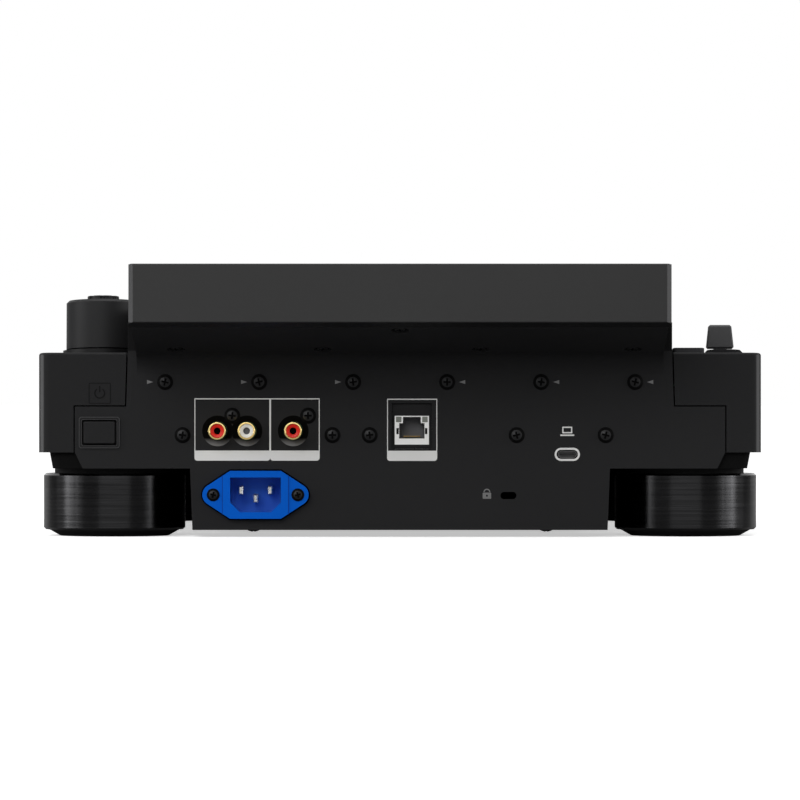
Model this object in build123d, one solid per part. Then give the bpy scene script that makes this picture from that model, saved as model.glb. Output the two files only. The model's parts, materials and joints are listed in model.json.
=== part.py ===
from build123d import *
import os
from math import cos, radians, sin, tan, atan2, degrees

# Screen-topped tabletop DJ player. Millimetres, +Z up, the user at -Y and the connectors at +Y.
# The origin is on the table, under the middle of the whole object.

os.makedirs("parts", exist_ok=True)

# How far a cut runs past the face it opens
cut_over = 1.0

# Overall form
overall_width = 342.0
overall_depth = 458.0
overall_height = 128.0
screen_overhang = 60.0
deck_tilt = 3.5
deck_rear_height = 87.3

# Moulded upper case
case_bottom = 40.0
case_wall = 3.0
case_corner = 5.0
case_top_round = 1.2
case_lip_height = 3.0
case_lip_width = 6.1
case_seam = 0.6

# Top plate, flush in the case's rim
plate_thickness = 1.8
plate_inset = 4.0
plate_corner = 6.0
plate_gap = 0.2
plate_ledge = 3.5
plate_ledge_thickness = 3.0
plate_post_radius = 3.0
plate_post_bore = 1.2

# Bottom chassis
chassis_wall = 1.6
chassis_side_inset = 5.0
chassis_side_draft = 1.4
chassis_front_inset = 5.0
shoulder_height = 32.4
tongue_gap = 0.3
tongue_height = 10.0
belly_clearance = 3.3
belly_foot_gap = 3.6
belly_side_draft = 1.1
belly_front_inset = 23.0
belly_front_slope = 10.0
belly_corner = 4.0

# Feet and pads
foot_radius = 33.9
foot_side_inset = 34.2
foot_rear_inset = 36.0
foot_front_inset = 40.0
foot_bottom = 3.0
foot_top = 29.9
foot_neck_radius = 22.0
foot_wall = 3.5
foot_edge = 1.0
pad_radius = 31.4
pad_tread_radius = 26.1
pad_plug_radius = 24.0
pad_plug_height = 1.4
pad_fit = 0.3

# Rear panel with its cove
panel_thickness = 2.5
panel_neck_inset = 42.3
panel_neck_flare = 0.8
panel_shelf_height = 61.7
panel_ear_top = 101.5
panel_wide_inset = 17.2
panel_chamfer_width = 3.7
panel_chamfer_height = 7.6
cove_radius = 10.0
cove_slope = 15.0
cove_side_step = 1.8

# Screen block
screen_front_lip = 7.0
screen_side_inset = 48.4
screen_wall = 2.5
cover_side_step = 3.0
cover_bottom = 100.7
cover_depth = 8.0
cover_wall = 2.5
cover_bevel = 2.1
cover_edge = 0.6
cover_fit = 0.3
glass_rear_margin = 12.0
glass_side_margin = 5.6
glass_thickness = 2.0
glass_corner = 6.0
glass_front_margin = 5.0
glass_fit = 0.3
glass_ledge = 5.0
display_end_margin = 7.0
display_side_margin = 6.5
display_thickness = 4.0
cable_slot_length = 60.0
cable_slot_width = 10.0

# Screws
screw_head_radius = 3.7
screw_head_height = 1.5
screw_head_dome = 0.7
screw_shank_radius = 1.5
screw_shank_length = 6.0
screw_hole_fit = 0.1
screw_sink_radius = 4.2
screw_sink_depth = 1.4
screen_screw_length = 3.6
upper_screw_end_inset = 17.55
upper_screw_count = 6
upper_screw_height = 73.3
lower_left_inner_screw_insets = (62.0, 79.6)
lower_right_inner_screw_inset = 38.9
lower_left_screw_step = 8.9
lower_right_screw_step = 3.2
lower_screw_height = 48.2
jack_screw_insets = (14.6, 50.5)
jack_screw_height = 57.4
screen_middle_screws = (36.4, -37.8)
screen_left_screw_inset = 19.1
screen_right_screw_inset = 15.0
screen_screw_setback = 45.7
screen_middle_screw_setback = 13.7
belly_screw_side_inset = 29.3
belly_screw_rear_inset = 29.0
belly_screw_front_inset = 59.0
belly_screw_length = 3.5

# Mains inlet
inlet_side_inset = 31.0
inlet_z = 20.0
inlet_flange_height = 22.6
inlet_flange_thickness = 3.2
inlet_centre_width = 31.6
inlet_ear_step = 0.4
inlet_ear_radius = 5.1
inlet_screw_spacing = 40.0
inlet_screw_head_radius = 3.0
inlet_body_margin = 1.6
inlet_body_depth = 19.0
inlet_opening_width = 24.0
inlet_opening_height = 16.4
inlet_opening_depth = 17.0
inlet_opening_chamfer = 4.6
inlet_pin_width = 2.0
inlet_pin_height = 4.0
inlet_pin_length = 15.0
inlet_pin_spread = 7.0
inlet_pin_rise = 2.1
inlet_ground_drop = 1.8
inlet_fit = 0.3

# Phono jacks
rca_red_insets = (7.7, 43.5)
rca_white_inset = 21.6
rca_z = 50.2
rca_sleeve_radius = 4.15
rca_sleeve_wall = 0.8
rca_sleeve_reach = 8.5
rca_root = 6.0
rca_root_step = 0.15
rca_dish_radius = 7.3
rca_dish_depth = 1.6
rca_hole_fit = 0.45
rca_insert_fit = 0.05
rca_insert_recess = 0.6
rca_core_radius = 1.65
rca_housing_width = 13.4
rca_housing_depth = 14.0
rca_housing_top = 61.4

# Network jack
ethernet_x = -5.6
ethernet_width = 16.2
ethernet_top = 57.3
ethernet_bottom = 43.7
ethernet_depth = 21.0
ethernet_setback = 1.0
ethernet_mouth_width = 12.0
ethernet_mouth_height = 7.2
ethernet_mouth_bottom = 46.6
ethernet_latch_width = 8.4
ethernet_latch_height = 3.0
ethernet_mouth_depth = 14.0
ethernet_pocket_width = 19.2
ethernet_pocket_bottom = 41.6
ethernet_pocket_top = 63.4

# Computer socket
usb_c_side_inset = 14.9
usb_c_z = 39.1
usb_c_shell_width = 8.94
usb_c_shell_height = 3.2
usb_c_inner_width = 8.34
usb_c_inner_height = 2.6
usb_c_depth = 7.5
usb_c_back_wall = 1.9
usb_c_tongue_width = 6.7
usb_c_tongue_height = 0.7
usb_c_setback = 0.5
usb_c_fit = 0.15

# Lock slot
lock_slot_x = -51.3
lock_slot_z = 19.6
lock_slot_width = 7.6
lock_slot_height = 3.4

# Power button
power_z = 49.4
power_width = 14.9
power_height = 10.5
power_corner = 0.8
power_gap = 0.85
power_rim_width = 1.3
power_rim_height = 0.8
power_proud = 1.0
power_flange = 1.4
power_flange_thickness = 1.2
power_flange_gap = 0.2
power_travel = 2.0
power_switch_depth = 11.0
power_switch_width = 12.0
power_switch_height = 11.0

# Main board and supply
board_thickness = 1.6
main_board_side_gap = 5.3
main_board_length = 140.0
main_board_rear_gap = 2.5
standoff_radius = 3.2
standoff_inset = 8.0
standoff_inner_x = 24.0
processor_size = 34.0
processor_height = 3.0
supply_side_inset = 41.3
supply_rear_inset = 81.0
supply_width = 66.0
supply_length = 92.0
supply_transformer_size = 34.0
supply_transformer_x = 8.0
supply_transformer_y = 6.0
supply_transformer_height = 22.0
supply_capacitor_radius = 8.0
supply_capacitor_x = 13.0
supply_capacitor_y = -32.0
supply_capacitor_height = 21.0
supply_heatsink_thickness = 3.0
supply_heatsink_length = 46.0
supply_heatsink_y = 11.5

# Control board under the deck, and its switches
control_board_depth = 14.0
control_board_side_inset = 15.0
control_board_margin = 12.0
control_board_post_inset = 44.0
control_board_post_front = 24.0
control_board_post_middle_gap = 11.0
control_board_post_rear = 20.7
switch_size = 6.0
switch_body_height = 3.5
switch_plunger_radius = 1.7
switch_plunger_height = 1.5
switch_clearance = 0.2

# Deck keys
key_gap = 0.3
key_rise = 1.8
key_round = 0.5
key_flange = 1.0
key_flange_thickness = 1.2
key_flange_gap = 0.2
key_stem_radius = 2.4
key_travel = 0.6
cue_pad_count = 8
cue_pad_width = 21.0
cue_pad_length = 11.0
cue_pad_corner = 1.5
cue_pad_pitch = 25.4
cue_pad_jog_gap = 31.0
cue_pad_screen_gap = 25.0
big_key_radius = 16.5
big_key_travel = 1.0
big_key_dish = 0.8
left_column_inset = 34.5
play_from_front = 42.0
cue_from_front = 82.0
pill_width = 15.0
pill_length = 8.0
pill_pitch = 19.5
search_from_front = 116.0
track_from_front = 132.0
loop_key_radius = 7.5
loop_beyond_jog = 78.0
loop_exit_beyond_jog = 102.0
right_column_inset = 33.0
small_key_width = 14.0
small_key_length = 8.0
small_key_corner = 1.2
small_key_pitch = 18.0
tempo_key_beyond_jog = 64.0
sync_key_beyond_jog = 84.0

# Jog wheel
jog_front_margin = 25.0
jog_side_inset = 68.0
jog_gap = 0.8
jog_height = 14.0
jog_taper = 6.0
jog_wall = 2.4
jog_deck = 3.4
jog_web = 2.5
jog_web_rise = 1.3
jog_skirt = 5.5
jog_dimples = 40
jog_dimple_radius = 4.0
jog_dimple_sink = 1.3
jog_ring_inner = 37.8
jog_ring_step = 8.8
jog_ring_thickness = 1.2
jog_ring_fit = 0.1
jog_hub_radius = 16.0
jog_hub_height = 8.0
jog_post_radius = 8.0
jog_running_fit = 0.05
jog_base_wall = 2.2
jog_base_rim_width = 5.2
jog_base_rim_height = 2.4
jog_base_floor = 2.0
jog_base_depth = 13.0
jog_base_fit = 0.3
jog_post_flange_radius = 13.0
jog_post_flange_height = 0.8
jog_floor_gap = 0.3
jog_display_radius = 33.6
jog_display_thickness = 4.0
jog_display_gap = 1.0

# Browse knob and its encoder
browse_side_inset = 28.8
browse_from_rear = 34.1
browse_radius = 17.6
browse_side_height = 25.7
browse_dome = 1.2
browse_crown_radius = 7.6
browse_crown_height = 2.4
browse_crown_notches = 8
browse_crown_notch_radius = 1.3
browse_cap_gap = 0.7
browse_cap_wall = 2.4
browse_collar_radius = 19.2
browse_collar_height = 3.0
browse_shaft_radius = 2.4
browse_shaft_flat = 1.2
browse_rotor_radius = 3.4
encoder_bushing_radius = 4.5
encoder_size = 12.0
encoder_body_height = 6.5
encoder_bushing_reach = 5.0
encoder_floor = 1.5
browse_travel = 0.6
running_fit = 0.05

# Direction lever
lever_side_inset = 17.8
lever_from_rear = 34.1
lever_bottom_width = 13.3
lever_top_width = 10.9
lever_height = 15.5
lever_thickness = 5.0
lever_top_thickness = 4.0
lever_edge = 0.8
lever_skirt = 0.9
lever_neck_width = 6.0
lever_neck_thickness = 3.0
lever_pivot_depth = 6.0
lever_pin_radius = 1.2
lever_hub_radius = 2.6
lever_collar_shift = 1.6
lever_collar_width = 19.0
lever_collar_length = 24.0
lever_collar_height = 3.2
lever_collar_corner = 8.5
lever_collar_bevel = 1.6
lever_slot_width = 8.0
lever_slot_length = 12.0
lever_housing_wall = 1.6

# Tempo slider
tempo_before_jog = 22.0
tempo_travel = 50.0
tempo_slot_width = 2.4
tempo_slot_margin = 3.5
tempo_body_width = 12.0
tempo_body_height = 8.0
tempo_body_margin = 8.0
tempo_body_wall = 1.5
tempo_stem_width = 1.4
tempo_stem_length = 5.0
tempo_stem_side_gap = 0.3
tempo_cap_width = 22.0
tempo_cap_length = 12.0
tempo_cap_height = 9.0
tempo_cap_gap = 0.4
tempo_cap_waist = 3.0
tempo_cap_draft = 1.0

# Jog feel knob
feel_beyond_jog = 112.0
feel_radius = 8.0
feel_top_radius = 6.8
feel_height = 11.0
feel_gap = 0.5
feel_flutes = 14
feel_flute_radius = 0.9
feel_flute_start = 3.7
feel_shaft_radius = 3.0
feel_pot_size = 11.0
feel_pot_height = 5.0
feel_hole_fit = 0.4

# Memory stick port on the deck
port_side_inset = 33.8
port_from_rear = 30.0
port_width = 15.0
port_length = 34.0
port_corner = 2.0
port_rise = 3.2
port_mouth_width = 5.6
port_mouth_length = 12.6
port_tongue_width = 1.9
port_tongue_length = 11.2
port_tongue_shift = 0.9
port_mouth_depth = 11.0
port_body_wall = 1.2
port_fit = 0.2

# Sizes that follow from the width
half_width = overall_width / 2
foot_x = half_width - foot_side_inset
belly_half_width = foot_x - foot_radius - belly_foot_gap
main_board_half_width = belly_half_width - main_board_side_gap
control_board_half_width = half_width - control_board_side_inset
control_board_post_x = control_board_half_width - control_board_post_inset
panel_neck_half_width = half_width - panel_neck_inset
panel_wide_half_width = half_width - panel_wide_inset
screen_half_width = half_width - screen_side_inset
cover_half_width = screen_half_width + cover_side_step
cove_half_width = screen_half_width + cove_side_step
glass_half_width = screen_half_width - glass_side_margin
display_half_width = glass_half_width - display_side_margin
jog_radius = half_width - jog_side_inset
jog_ring_outer = jog_radius - jog_ring_step
browse_x = half_width - browse_side_inset
power_x = browse_x
lever_x = lever_side_inset - half_width
port_x = port_side_inset - half_width
left_column_x = left_column_inset - half_width
right_column_x = half_width - right_column_inset
small_key_x = (right_column_x - small_key_pitch / 2, right_column_x + small_key_pitch / 2)
inlet_x = belly_half_width - inlet_side_inset
supply_x = belly_half_width - supply_side_inset
rca_red_x = [main_board_half_width - inset for inset in rca_red_insets]
rca_white_x = main_board_half_width - rca_white_inset
usb_c_x = usb_c_side_inset - main_board_half_width
jack_screws = [main_board_half_width - inset for inset in jack_screw_insets]
lower_left_screw = main_board_half_width + lower_left_screw_step
lower_right_screw = main_board_half_width + lower_right_screw_step
lower_left_inner_screws = [main_board_half_width - inset for inset in lower_left_inner_screw_insets]
lower_right_inner_screw = main_board_half_width - lower_right_inner_screw_inset
lower_screws = (lower_left_screw, *lower_left_inner_screws, -lower_right_inner_screw, -lower_right_screw)
screen_left_screw = cove_half_width - screen_left_screw_inset
screen_right_screw = cove_half_width - screen_right_screw_inset
screen_screws = (screen_left_screw, *screen_middle_screws, -screen_right_screw)
upper_screw_pitch = 2 * (panel_neck_half_width - upper_screw_end_inset) / (upper_screw_count - 1)
belly_screw_x = belly_half_width - belly_screw_side_inset

# Frame of the deck: its origin is at the rear edge, +Y runs up the slope, +Z stands off the plate.
body_rear = overall_depth / 2 - screen_overhang
body_front = -overall_depth / 2
body_depth = body_rear - body_front
body_middle = (body_rear + body_front) / 2
deck_length = body_depth / cos(radians(deck_tilt))
deck_normal = (0, -sin(radians(deck_tilt)), cos(radians(deck_tilt)))
deck = Plane(origin=(0, body_rear, deck_rear_height), x_dir=(1, 0, 0), z_dir=deck_normal)
plate_half_width = half_width - plate_inset
plate_length = deck_length - 2 * plate_inset
board_top = -control_board_depth
switch_top = board_top + switch_body_height + switch_plunger_height
tray_floor = belly_clearance + chassis_wall
main_board_top = usb_c_z - usb_c_shell_height / 2
panel_inner = body_rear - panel_thickness
screen_rear = overall_depth / 2
foot_rows = (body_rear - foot_rear_inset, body_front + foot_front_inset)
jog_from_front = jog_front_margin + jog_radius
loop_from_front = jog_from_front + loop_beyond_jog
loop_exit_from_front = jog_from_front + loop_exit_beyond_jog
tempo_key_from_front = jog_from_front + tempo_key_beyond_jog
sync_key_from_front = jog_from_front + sync_key_beyond_jog
tempo_from_front = jog_from_front - tempo_before_jog
feel_from_front = jog_from_front + feel_beyond_jog
cue_pad_from_front = jog_from_front + jog_radius + cue_pad_jog_gap
screen_from_front = cue_pad_from_front + cue_pad_screen_gap
screen_length = overall_depth - screen_from_front
screen_front = screen_rear - screen_length
glass_length = screen_length - glass_front_margin - glass_rear_margin
display_length = glass_length - 2 * display_end_margin
cable_slot_from_rear = (screen_length - screen_overhang) / 2
cover_height = overall_height - cover_bottom
control_board_post_rows = (
    control_board_post_front,
    screen_from_front - control_board_post_middle_gap,
    deck_length - control_board_post_rear,
)
supply_y = body_rear - supply_rear_inset
belly_screw_rear = body_rear - belly_screw_rear_inset
belly_screw_front = body_front + belly_screw_front_inset
belly_screw_rows = (belly_screw_rear, (belly_screw_rear + belly_screw_front) / 2, belly_screw_front)


def from_front(x, distance):
    """A place on the deck, counted from its front edge."""
    return deck * Pos(x, distance - deck_length, 0)


def from_rear(x, distance):
    """A place on the deck, counted from its rear edge."""
    return deck * Pos(x, -distance, 0)


def slab(width, length, corner, low, high):
    """A plate with rounded corners between two heights."""
    return Pos(0, 0, low) * extrude(RectangleRounded(width, length, corner), high - low)


def box(width, length, low, high):
    """A plain block between two heights."""
    return Pos(0, 0, low) * extrude(Rectangle(width, length), high - low)


def rod(radius, low, high):
    """An upright cylinder between two heights."""
    return Pos(0, 0, low) * extrude(Circle(radius), high - low)


def facing_rear(x, z, y=body_rear):
    """A plane that looks out of the rear panel, with its own +Y upwards."""
    return Plane(origin=(x, y, z), x_dir=(-1, 0, 0), z_dir=(0, 1, 0))


def side_profile(points, half_width):
    """A band as wide as the block, from its outline of (y, z) points."""
    outline = Plane.YZ * make_face(Polyline(*points, close=True))
    return extrude(outline, half_width, both=True)


def deck_z(y):
    """Height of the plate's top at a distance y."""
    return deck_rear_height - (body_rear - y) * tan(radians(deck_tilt))


def underside_z(y):
    """Height of the sloping underside of the screen block."""
    return cover_bottom - (screen_rear - y) * tan(radians(cove_slope))


screen_tilt = degrees(atan2(overall_height - deck_z(screen_front) - screen_front_lip, screen_length))


def screen_top_z(y):
    """Height of the sloping face of the screen block."""
    return overall_height - (screen_rear - y) * tan(radians(screen_tilt))


def band_top_z(y):
    """Height of the upper side of the rear panel's underside band."""
    return underside_z(y) + panel_thickness / cos(radians(cove_slope))


# ---- Housing ----

def upper_case():
    rise = deck_rear_height - case_bottom + case_wall
    block = Pos(0, body_middle, case_bottom) * extrude(
        RectangleRounded(overall_width, body_depth, case_corner), rise)
    shell = split(block, bisect_by=deck, keep=Keep.BOTTOM)
    top = shell.faces().sort_by(Axis.Z)[-1]
    shell = fillet(top.edges(), case_top_round)
    inner_outline = RectangleRounded(
        overall_width - 2 * case_wall, body_depth - 2 * case_wall, case_corner - case_wall)
    inner = Pos(0, body_middle, case_bottom + case_lip_height) * extrude(inner_outline, rise)
    ceiling = deck.offset(-plate_thickness - plate_ledge_thickness)
    shell -= split(inner, bisect_by=ceiling, keep=Keep.BOTTOM)
    shell -= Pos(0, body_middle, 0) * slab(
        overall_width - 2 * case_lip_width, body_depth - 2 * case_lip_width, case_corner,
        case_bottom - cut_over, case_bottom + case_lip_height + cut_over)
    shell -= from_front(0, deck_length / 2) * slab(
        2 * plate_half_width + 2 * plate_gap, plate_length + 2 * plate_gap, plate_corner + plate_gap,
        -plate_thickness, plate_thickness)
    shell -= from_front(0, deck_length / 2) * slab(
        2 * (plate_half_width - plate_ledge), plate_length - 2 * plate_ledge, plate_corner,
        -control_board_depth, 0)
    return shell - rear_cutout()


def panel_outline(grow):
    """Outline of the vertical panel, seen from behind and grown by a gap, as (x, z) points of one side."""
    neck = panel_neck_half_width + grow
    shelf = panel_shelf_height + grow
    wide = panel_wide_half_width + grow
    foot_line = shoulder_height - grow
    return [
        (neck, deck_rear_height - cover_fit),
        (neck + panel_neck_flare, shelf),
        (wide, shelf),
        (wide, shoulder_height + panel_chamfer_height),
        (wide - panel_chamfer_width, foot_line),
    ]


def mirrored_face(points):
    """A face in the XZ plane from one side's points and their mirror image."""
    mirror = [(-x, z) for x, z in reversed(points)]
    return make_face(Polyline(*points, *mirror, close=True))


def rear_cutout():
    """The opening in the case's rear wall that the panel and the screen block's neck fill."""
    side = panel_outline(case_seam)
    side[0] = (side[0][0], deck_rear_height + case_wall)
    opening = facing_rear(0, 0) * mirrored_face(side)
    return extrude(opening, -case_lip_width) + extrude(opening, case_wall)


def rear_panel():
    side = panel_outline(0)
    belly = [(belly_half_width, shoulder_height), (belly_half_width - belly_side_draft, belly_clearance)]
    plate = extrude(facing_rear(0, 0) * mirrored_face(side + belly), -panel_thickness)
    panel = plate + cove_band() + panel_ears()
    panel += facing_rear(power_x, power_z) * slab(
        power_width + 2 * power_gap + 2 * power_rim_width, power_height + 2 * power_gap + 2 * power_rim_width,
        power_corner + power_gap, 0, power_rim_height)
    for cut in panel_cuts():
        panel -= cut
    return panel


def panel_ears():
    """Narrow strips at the panel's upper corners, which close the gap beside the screen block."""
    width = panel_neck_half_width - cove_half_width
    middle = (panel_neck_half_width + cove_half_width) / 2
    low = deck_rear_height - cover_fit
    ear = Rectangle(width, panel_ear_top - low)
    height = (panel_ear_top + low) / 2
    ears = [facing_rear(side * middle, height) * ear for side in (-1, 1)]
    return extrude(Sketch() + ears, -panel_thickness, dir=(0, 1, 0))


def cove_band():
    """The bent sheet that rises from the panel and runs back under the screen block."""
    slope = radians(cove_slope)
    corner_z = underside_z(body_rear)
    tangent = cove_radius * tan((radians(90) - slope) / 2)
    centre = (body_rear + cove_radius, corner_z - tangent)
    outer_radius = cove_radius + panel_thickness
    end_y = screen_rear - cover_depth - cover_fit
    lean = (-sin(slope), cos(slope))
    middle = (radians(180) + slope + radians(90)) / 2
    air_mid = (centre[0] + cove_radius * cos(middle), centre[1] + cove_radius * sin(middle))
    back_mid = (centre[0] + outer_radius * cos(middle), centre[1] + outer_radius * sin(middle))
    air_end = (centre[0] + cove_radius * lean[0], centre[1] + cove_radius * lean[1])
    back_end = (centre[0] + outer_radius * lean[0], centre[1] + outer_radius * lean[1])
    root_z = corner_z - cove_radius
    outline = [
        Line((body_rear, root_z), (body_rear, centre[1])),
        ThreePointArc((body_rear, centre[1]), air_mid, air_end),
        Line(air_end, (end_y, underside_z(end_y))),
        Line((end_y, underside_z(end_y)), (end_y, band_top_z(end_y))),
        Line((end_y, band_top_z(end_y)), back_end),
        ThreePointArc(back_end, back_mid, (panel_inner, centre[1])),
        Line((panel_inner, centre[1]), (panel_inner, root_z)),
        Line((panel_inner, root_z), (body_rear, root_z)),
    ]
    return extrude(Plane.YZ * make_face(outline), cove_half_width, both=True)


def screen_screw_places():
    """Places of the screws that look down out of the sloping underside."""
    rear_row = [(x, screen_rear - screen_screw_setback) for x in screen_screws]
    places = rear_row + [(0, screen_rear - screen_middle_screw_setback)]
    tilt = radians(cove_slope)
    down = (0, sin(tilt), -cos(tilt))
    return [Plane(origin=(x, y, underside_z(y)), x_dir=(1, 0, 0), z_dir=down) for x, y in places]


def rear_screw_places():
    """Places of the screws on the vertical panel."""
    middle = (upper_screw_count - 1) / 2
    upper = [((i - middle) * upper_screw_pitch, upper_screw_height) for i in range(upper_screw_count)]
    lower = [(x, lower_screw_height) for x in lower_screws]
    jack = [(x, jack_screw_height) for x in jack_screws]
    return [facing_rear(x, z) for x, z in upper + lower + jack]


def belly_screw_places():
    """Places of the screws in the belly, looking down."""
    spots = [(side * belly_screw_x, y) for side in (-1, 1) for y in belly_screw_rows]
    return [Plane(origin=(x, y, belly_clearance), x_dir=(1, 0, 0), z_dir=(0, 0, -1)) for x, y in spots]


def panel_cuts():
    """Everything that is cut through the rear panel."""
    deep = 4 * panel_thickness
    hole = screw_shank_radius + screw_hole_fit
    cuts = [place * rod(hole, -deep, deep) for place in rear_screw_places()]
    for place in screen_screw_places():
        cuts.append(place * rod(hole, -deep, deep))
        cuts.append(place * rod(screw_sink_radius, -screw_sink_depth, deep))
    for x in (*rca_red_x, rca_white_x):
        throat = rca_sleeve_radius + rca_hole_fit
        cuts.append(facing_rear(x, rca_z) * rod(throat, -deep, deep))
        dish = Pos(0, 0, -rca_dish_depth / 2) * Cone(throat, rca_dish_radius, rca_dish_depth)
        cuts.append(facing_rear(x, rca_z) * dish)
    pocket_z = (ethernet_pocket_top + ethernet_pocket_bottom) / 2
    pocket_height = ethernet_pocket_top - ethernet_pocket_bottom
    cuts.append(facing_rear(ethernet_x, pocket_z) * slab(
        ethernet_pocket_width, pocket_height, power_corner, -deep, deep))
    cuts.append(facing_rear(inlet_x, inlet_z) * box(
        inlet_body_width() + 2 * inlet_fit, inlet_body_height() + 2 * inlet_fit, -deep, deep))
    for side in (-1, 1):
        cuts.append(facing_rear(inlet_x + side * inlet_screw_spacing / 2, inlet_z) * rod(hole, -deep, deep))
    usb_width = usb_c_shell_width + 2 * usb_c_fit
    usb_height = usb_c_shell_height + 2 * usb_c_fit
    cuts.append(facing_rear(usb_c_x, usb_c_z) * extrude(
        SlotOverall(usb_width, usb_height), deep, both=True))
    cuts.append(facing_rear(lock_slot_x, lock_slot_z) * extrude(
        SlotOverall(lock_slot_width, lock_slot_height), deep, both=True))
    cuts.append(facing_rear(power_x, power_z) * slab(
        power_width + 2 * power_gap, power_height + 2 * power_gap, power_corner, -deep, deep))
    return cuts


def bottom_chassis():
    """Tray with a wide shoulder, a deep belly, a tongue inside the case and stand-offs for the main board."""
    half = overall_width / 2 - chassis_side_inset
    front = body_front + chassis_front_inset
    lip_half = overall_width / 2 - case_lip_width - tongue_gap
    tongue_front = body_front + case_lip_width + tongue_gap
    tongue_rear = body_rear - case_lip_width - tongue_gap
    tray = drafted_block(half - chassis_side_draft, front + chassis_side_draft, half, front,
                         shoulder_height, case_bottom)
    tray += drafted_block(lip_half, tongue_front, lip_half, tongue_front,
                          case_bottom, case_bottom + tongue_height, tongue_rear)
    belly_front = body_front + belly_front_inset
    tray += drafted_block(belly_half_width - belly_side_draft, belly_front + belly_front_slope,
                          belly_half_width, belly_front, belly_clearance, shoulder_height)
    inner_half = lip_half - chassis_wall
    inner_front = tongue_front + chassis_wall
    tray -= drafted_block(inner_half, inner_front, inner_half, inner_front, shoulder_height + chassis_wall,
                          case_bottom + 2 * tongue_height, tongue_rear - chassis_wall)
    inner_belly = belly_half_width - chassis_wall
    hollow_front = belly_front + chassis_wall
    tray -= drafted_block(inner_belly - belly_side_draft, hollow_front + belly_front_slope,
                          inner_belly, hollow_front, tray_floor, shoulder_height + 2 * chassis_wall,
                          panel_inner + chassis_wall)
    window_half = panel_wide_half_width - panel_chamfer_width - 2 * chassis_wall
    window_height = tongue_height + case_bottom - shoulder_height
    tray -= Pos(0, panel_inner, 0) * box(
        2 * window_half, 4 * case_lip_width, shoulder_height + chassis_wall,
        shoulder_height + window_height + cut_over)
    for x, y in standoff_places():
        tray += Pos(x, y, 0) * rod(
            standoff_radius, tray_floor - chassis_wall / 2, main_board_top - board_thickness)
    for place in belly_screw_places():
        tray -= place * rod(screw_shank_radius + screw_hole_fit, -2 * chassis_wall, chassis_wall)
    return tray


def drafted_block(low_half, low_front, high_half, high_front, low, high, rear=panel_inner):
    """A block with rounded corners whose sides and front lean out, and whose rear stays upright."""
    sections = []
    for half, front, height in ((low_half, low_front, low), (high_half, high_front, high)):
        section = RectangleRounded(2 * half, rear - front, belly_corner)
        sections.append(Pos(0, (front + rear) / 2, height) * section)
    return loft(sections)


def standoff_places():
    """Places of the stand-offs under the main board."""
    reach = main_board_half_width - standoff_inset
    rear = panel_inner - main_board_rear_gap - 2 * standoff_inset
    front = panel_inner - main_board_rear_gap - main_board_length + standoff_inset
    return [(-reach, rear), (standoff_inner_x, rear), (-reach, front), (reach, front)]


def feet():
    """Four turned feet with a narrower neck, hollow above the pad."""
    outline = [
        (0, foot_top - foot_wall),
        (pad_plug_radius + pad_fit, foot_top - foot_wall),
        (pad_plug_radius + pad_fit, foot_bottom),
        (foot_radius - foot_edge, foot_bottom),
        (foot_radius, foot_bottom + foot_edge),
        (foot_radius, foot_top - foot_edge),
        (foot_radius - foot_edge, foot_top),
        (foot_neck_radius, foot_top),
        (foot_neck_radius, shoulder_height),
        (0, shoulder_height),
    ]
    foot = revolve(Plane.XZ * make_face(Polyline(*outline, close=True)), Axis.Z)
    return at_feet(foot)


def foot_pads():
    """Rubber pads that taper to their tread, each with a plug in its foot."""
    outline = [
        (0, 0),
        (pad_tread_radius, 0),
        (pad_radius, foot_bottom),
        (pad_plug_radius, foot_bottom),
        (pad_plug_radius, foot_bottom + pad_plug_height),
        (0, foot_bottom + pad_plug_height),
    ]
    pad = revolve(Plane.XZ * make_face(Polyline(*outline, close=True)), Axis.Z)
    return at_feet(pad)


def at_feet(piece):
    """Four copies of a piece, one at each foot."""
    return Compound([Pos(side * foot_x, y, 0) * piece for side in (-1, 1) for y in foot_rows])


def top_plate():
    """Deck plate with an opening for each control, the collar of the browse knob and the board's posts."""
    plate = from_front(0, deck_length / 2) * slab(
        2 * plate_half_width, plate_length, plate_corner, -plate_thickness, 0)
    plate += from_rear(browse_x, browse_from_rear) * rod(
        browse_collar_radius, -plate_thickness, browse_collar_height)
    for key in deck_keys():
        opening = offset(key["outline"], key_gap)
        plate -= key["place"] * extrude(opening, plate_thickness * 2, both=True)
    plate -= from_front(0, jog_from_front) * rod(
        jog_base_outer() + jog_base_fit, -2 * plate_thickness, plate_thickness)
    bushing_hole = encoder_bushing_radius + port_fit
    plate -= from_rear(browse_x, browse_from_rear) * rod(
        bushing_hole, -2 * plate_thickness, 2 * browse_collar_height)
    plate -= from_front(right_column_x, feel_from_front) * rod(
        feel_shaft_radius + feel_hole_fit, -2 * plate_thickness, plate_thickness)
    plate -= from_rear(lever_x - lever_collar_shift, lever_from_rear) * slab(
        lever_collar_neck_width() + 2 * port_fit, lever_collar_neck_length() + 2 * port_fit, port_fit,
        -2 * plate_thickness, plate_thickness)
    slot_length = 2 * tempo_travel + tempo_stem_length + 2 * tempo_slot_margin
    plate -= from_front(right_column_x, tempo_from_front) * extrude(
        SlotOverall(slot_length, tempo_slot_width, rotation=90), 2 * plate_thickness, both=True)
    plate -= from_rear(port_x, port_from_rear) * box(
        port_body_width() + 2 * port_fit, port_body_length() + 2 * port_fit,
        -2 * plate_thickness, plate_thickness)
    plate -= from_rear(0, cable_slot_from_rear) * box(
        cable_slot_length, cable_slot_width, -2 * plate_thickness, plate_thickness)
    for side in (-1, 1):
        for row in control_board_post_rows:
            post = rod(plate_post_radius, board_top, -plate_thickness)
            post -= rod(plate_post_bore, board_top - cut_over, -2 * plate_thickness)
            plate += from_front(side * control_board_post_x, row) * post
    return plate


# ---- Screen block ----

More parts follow.
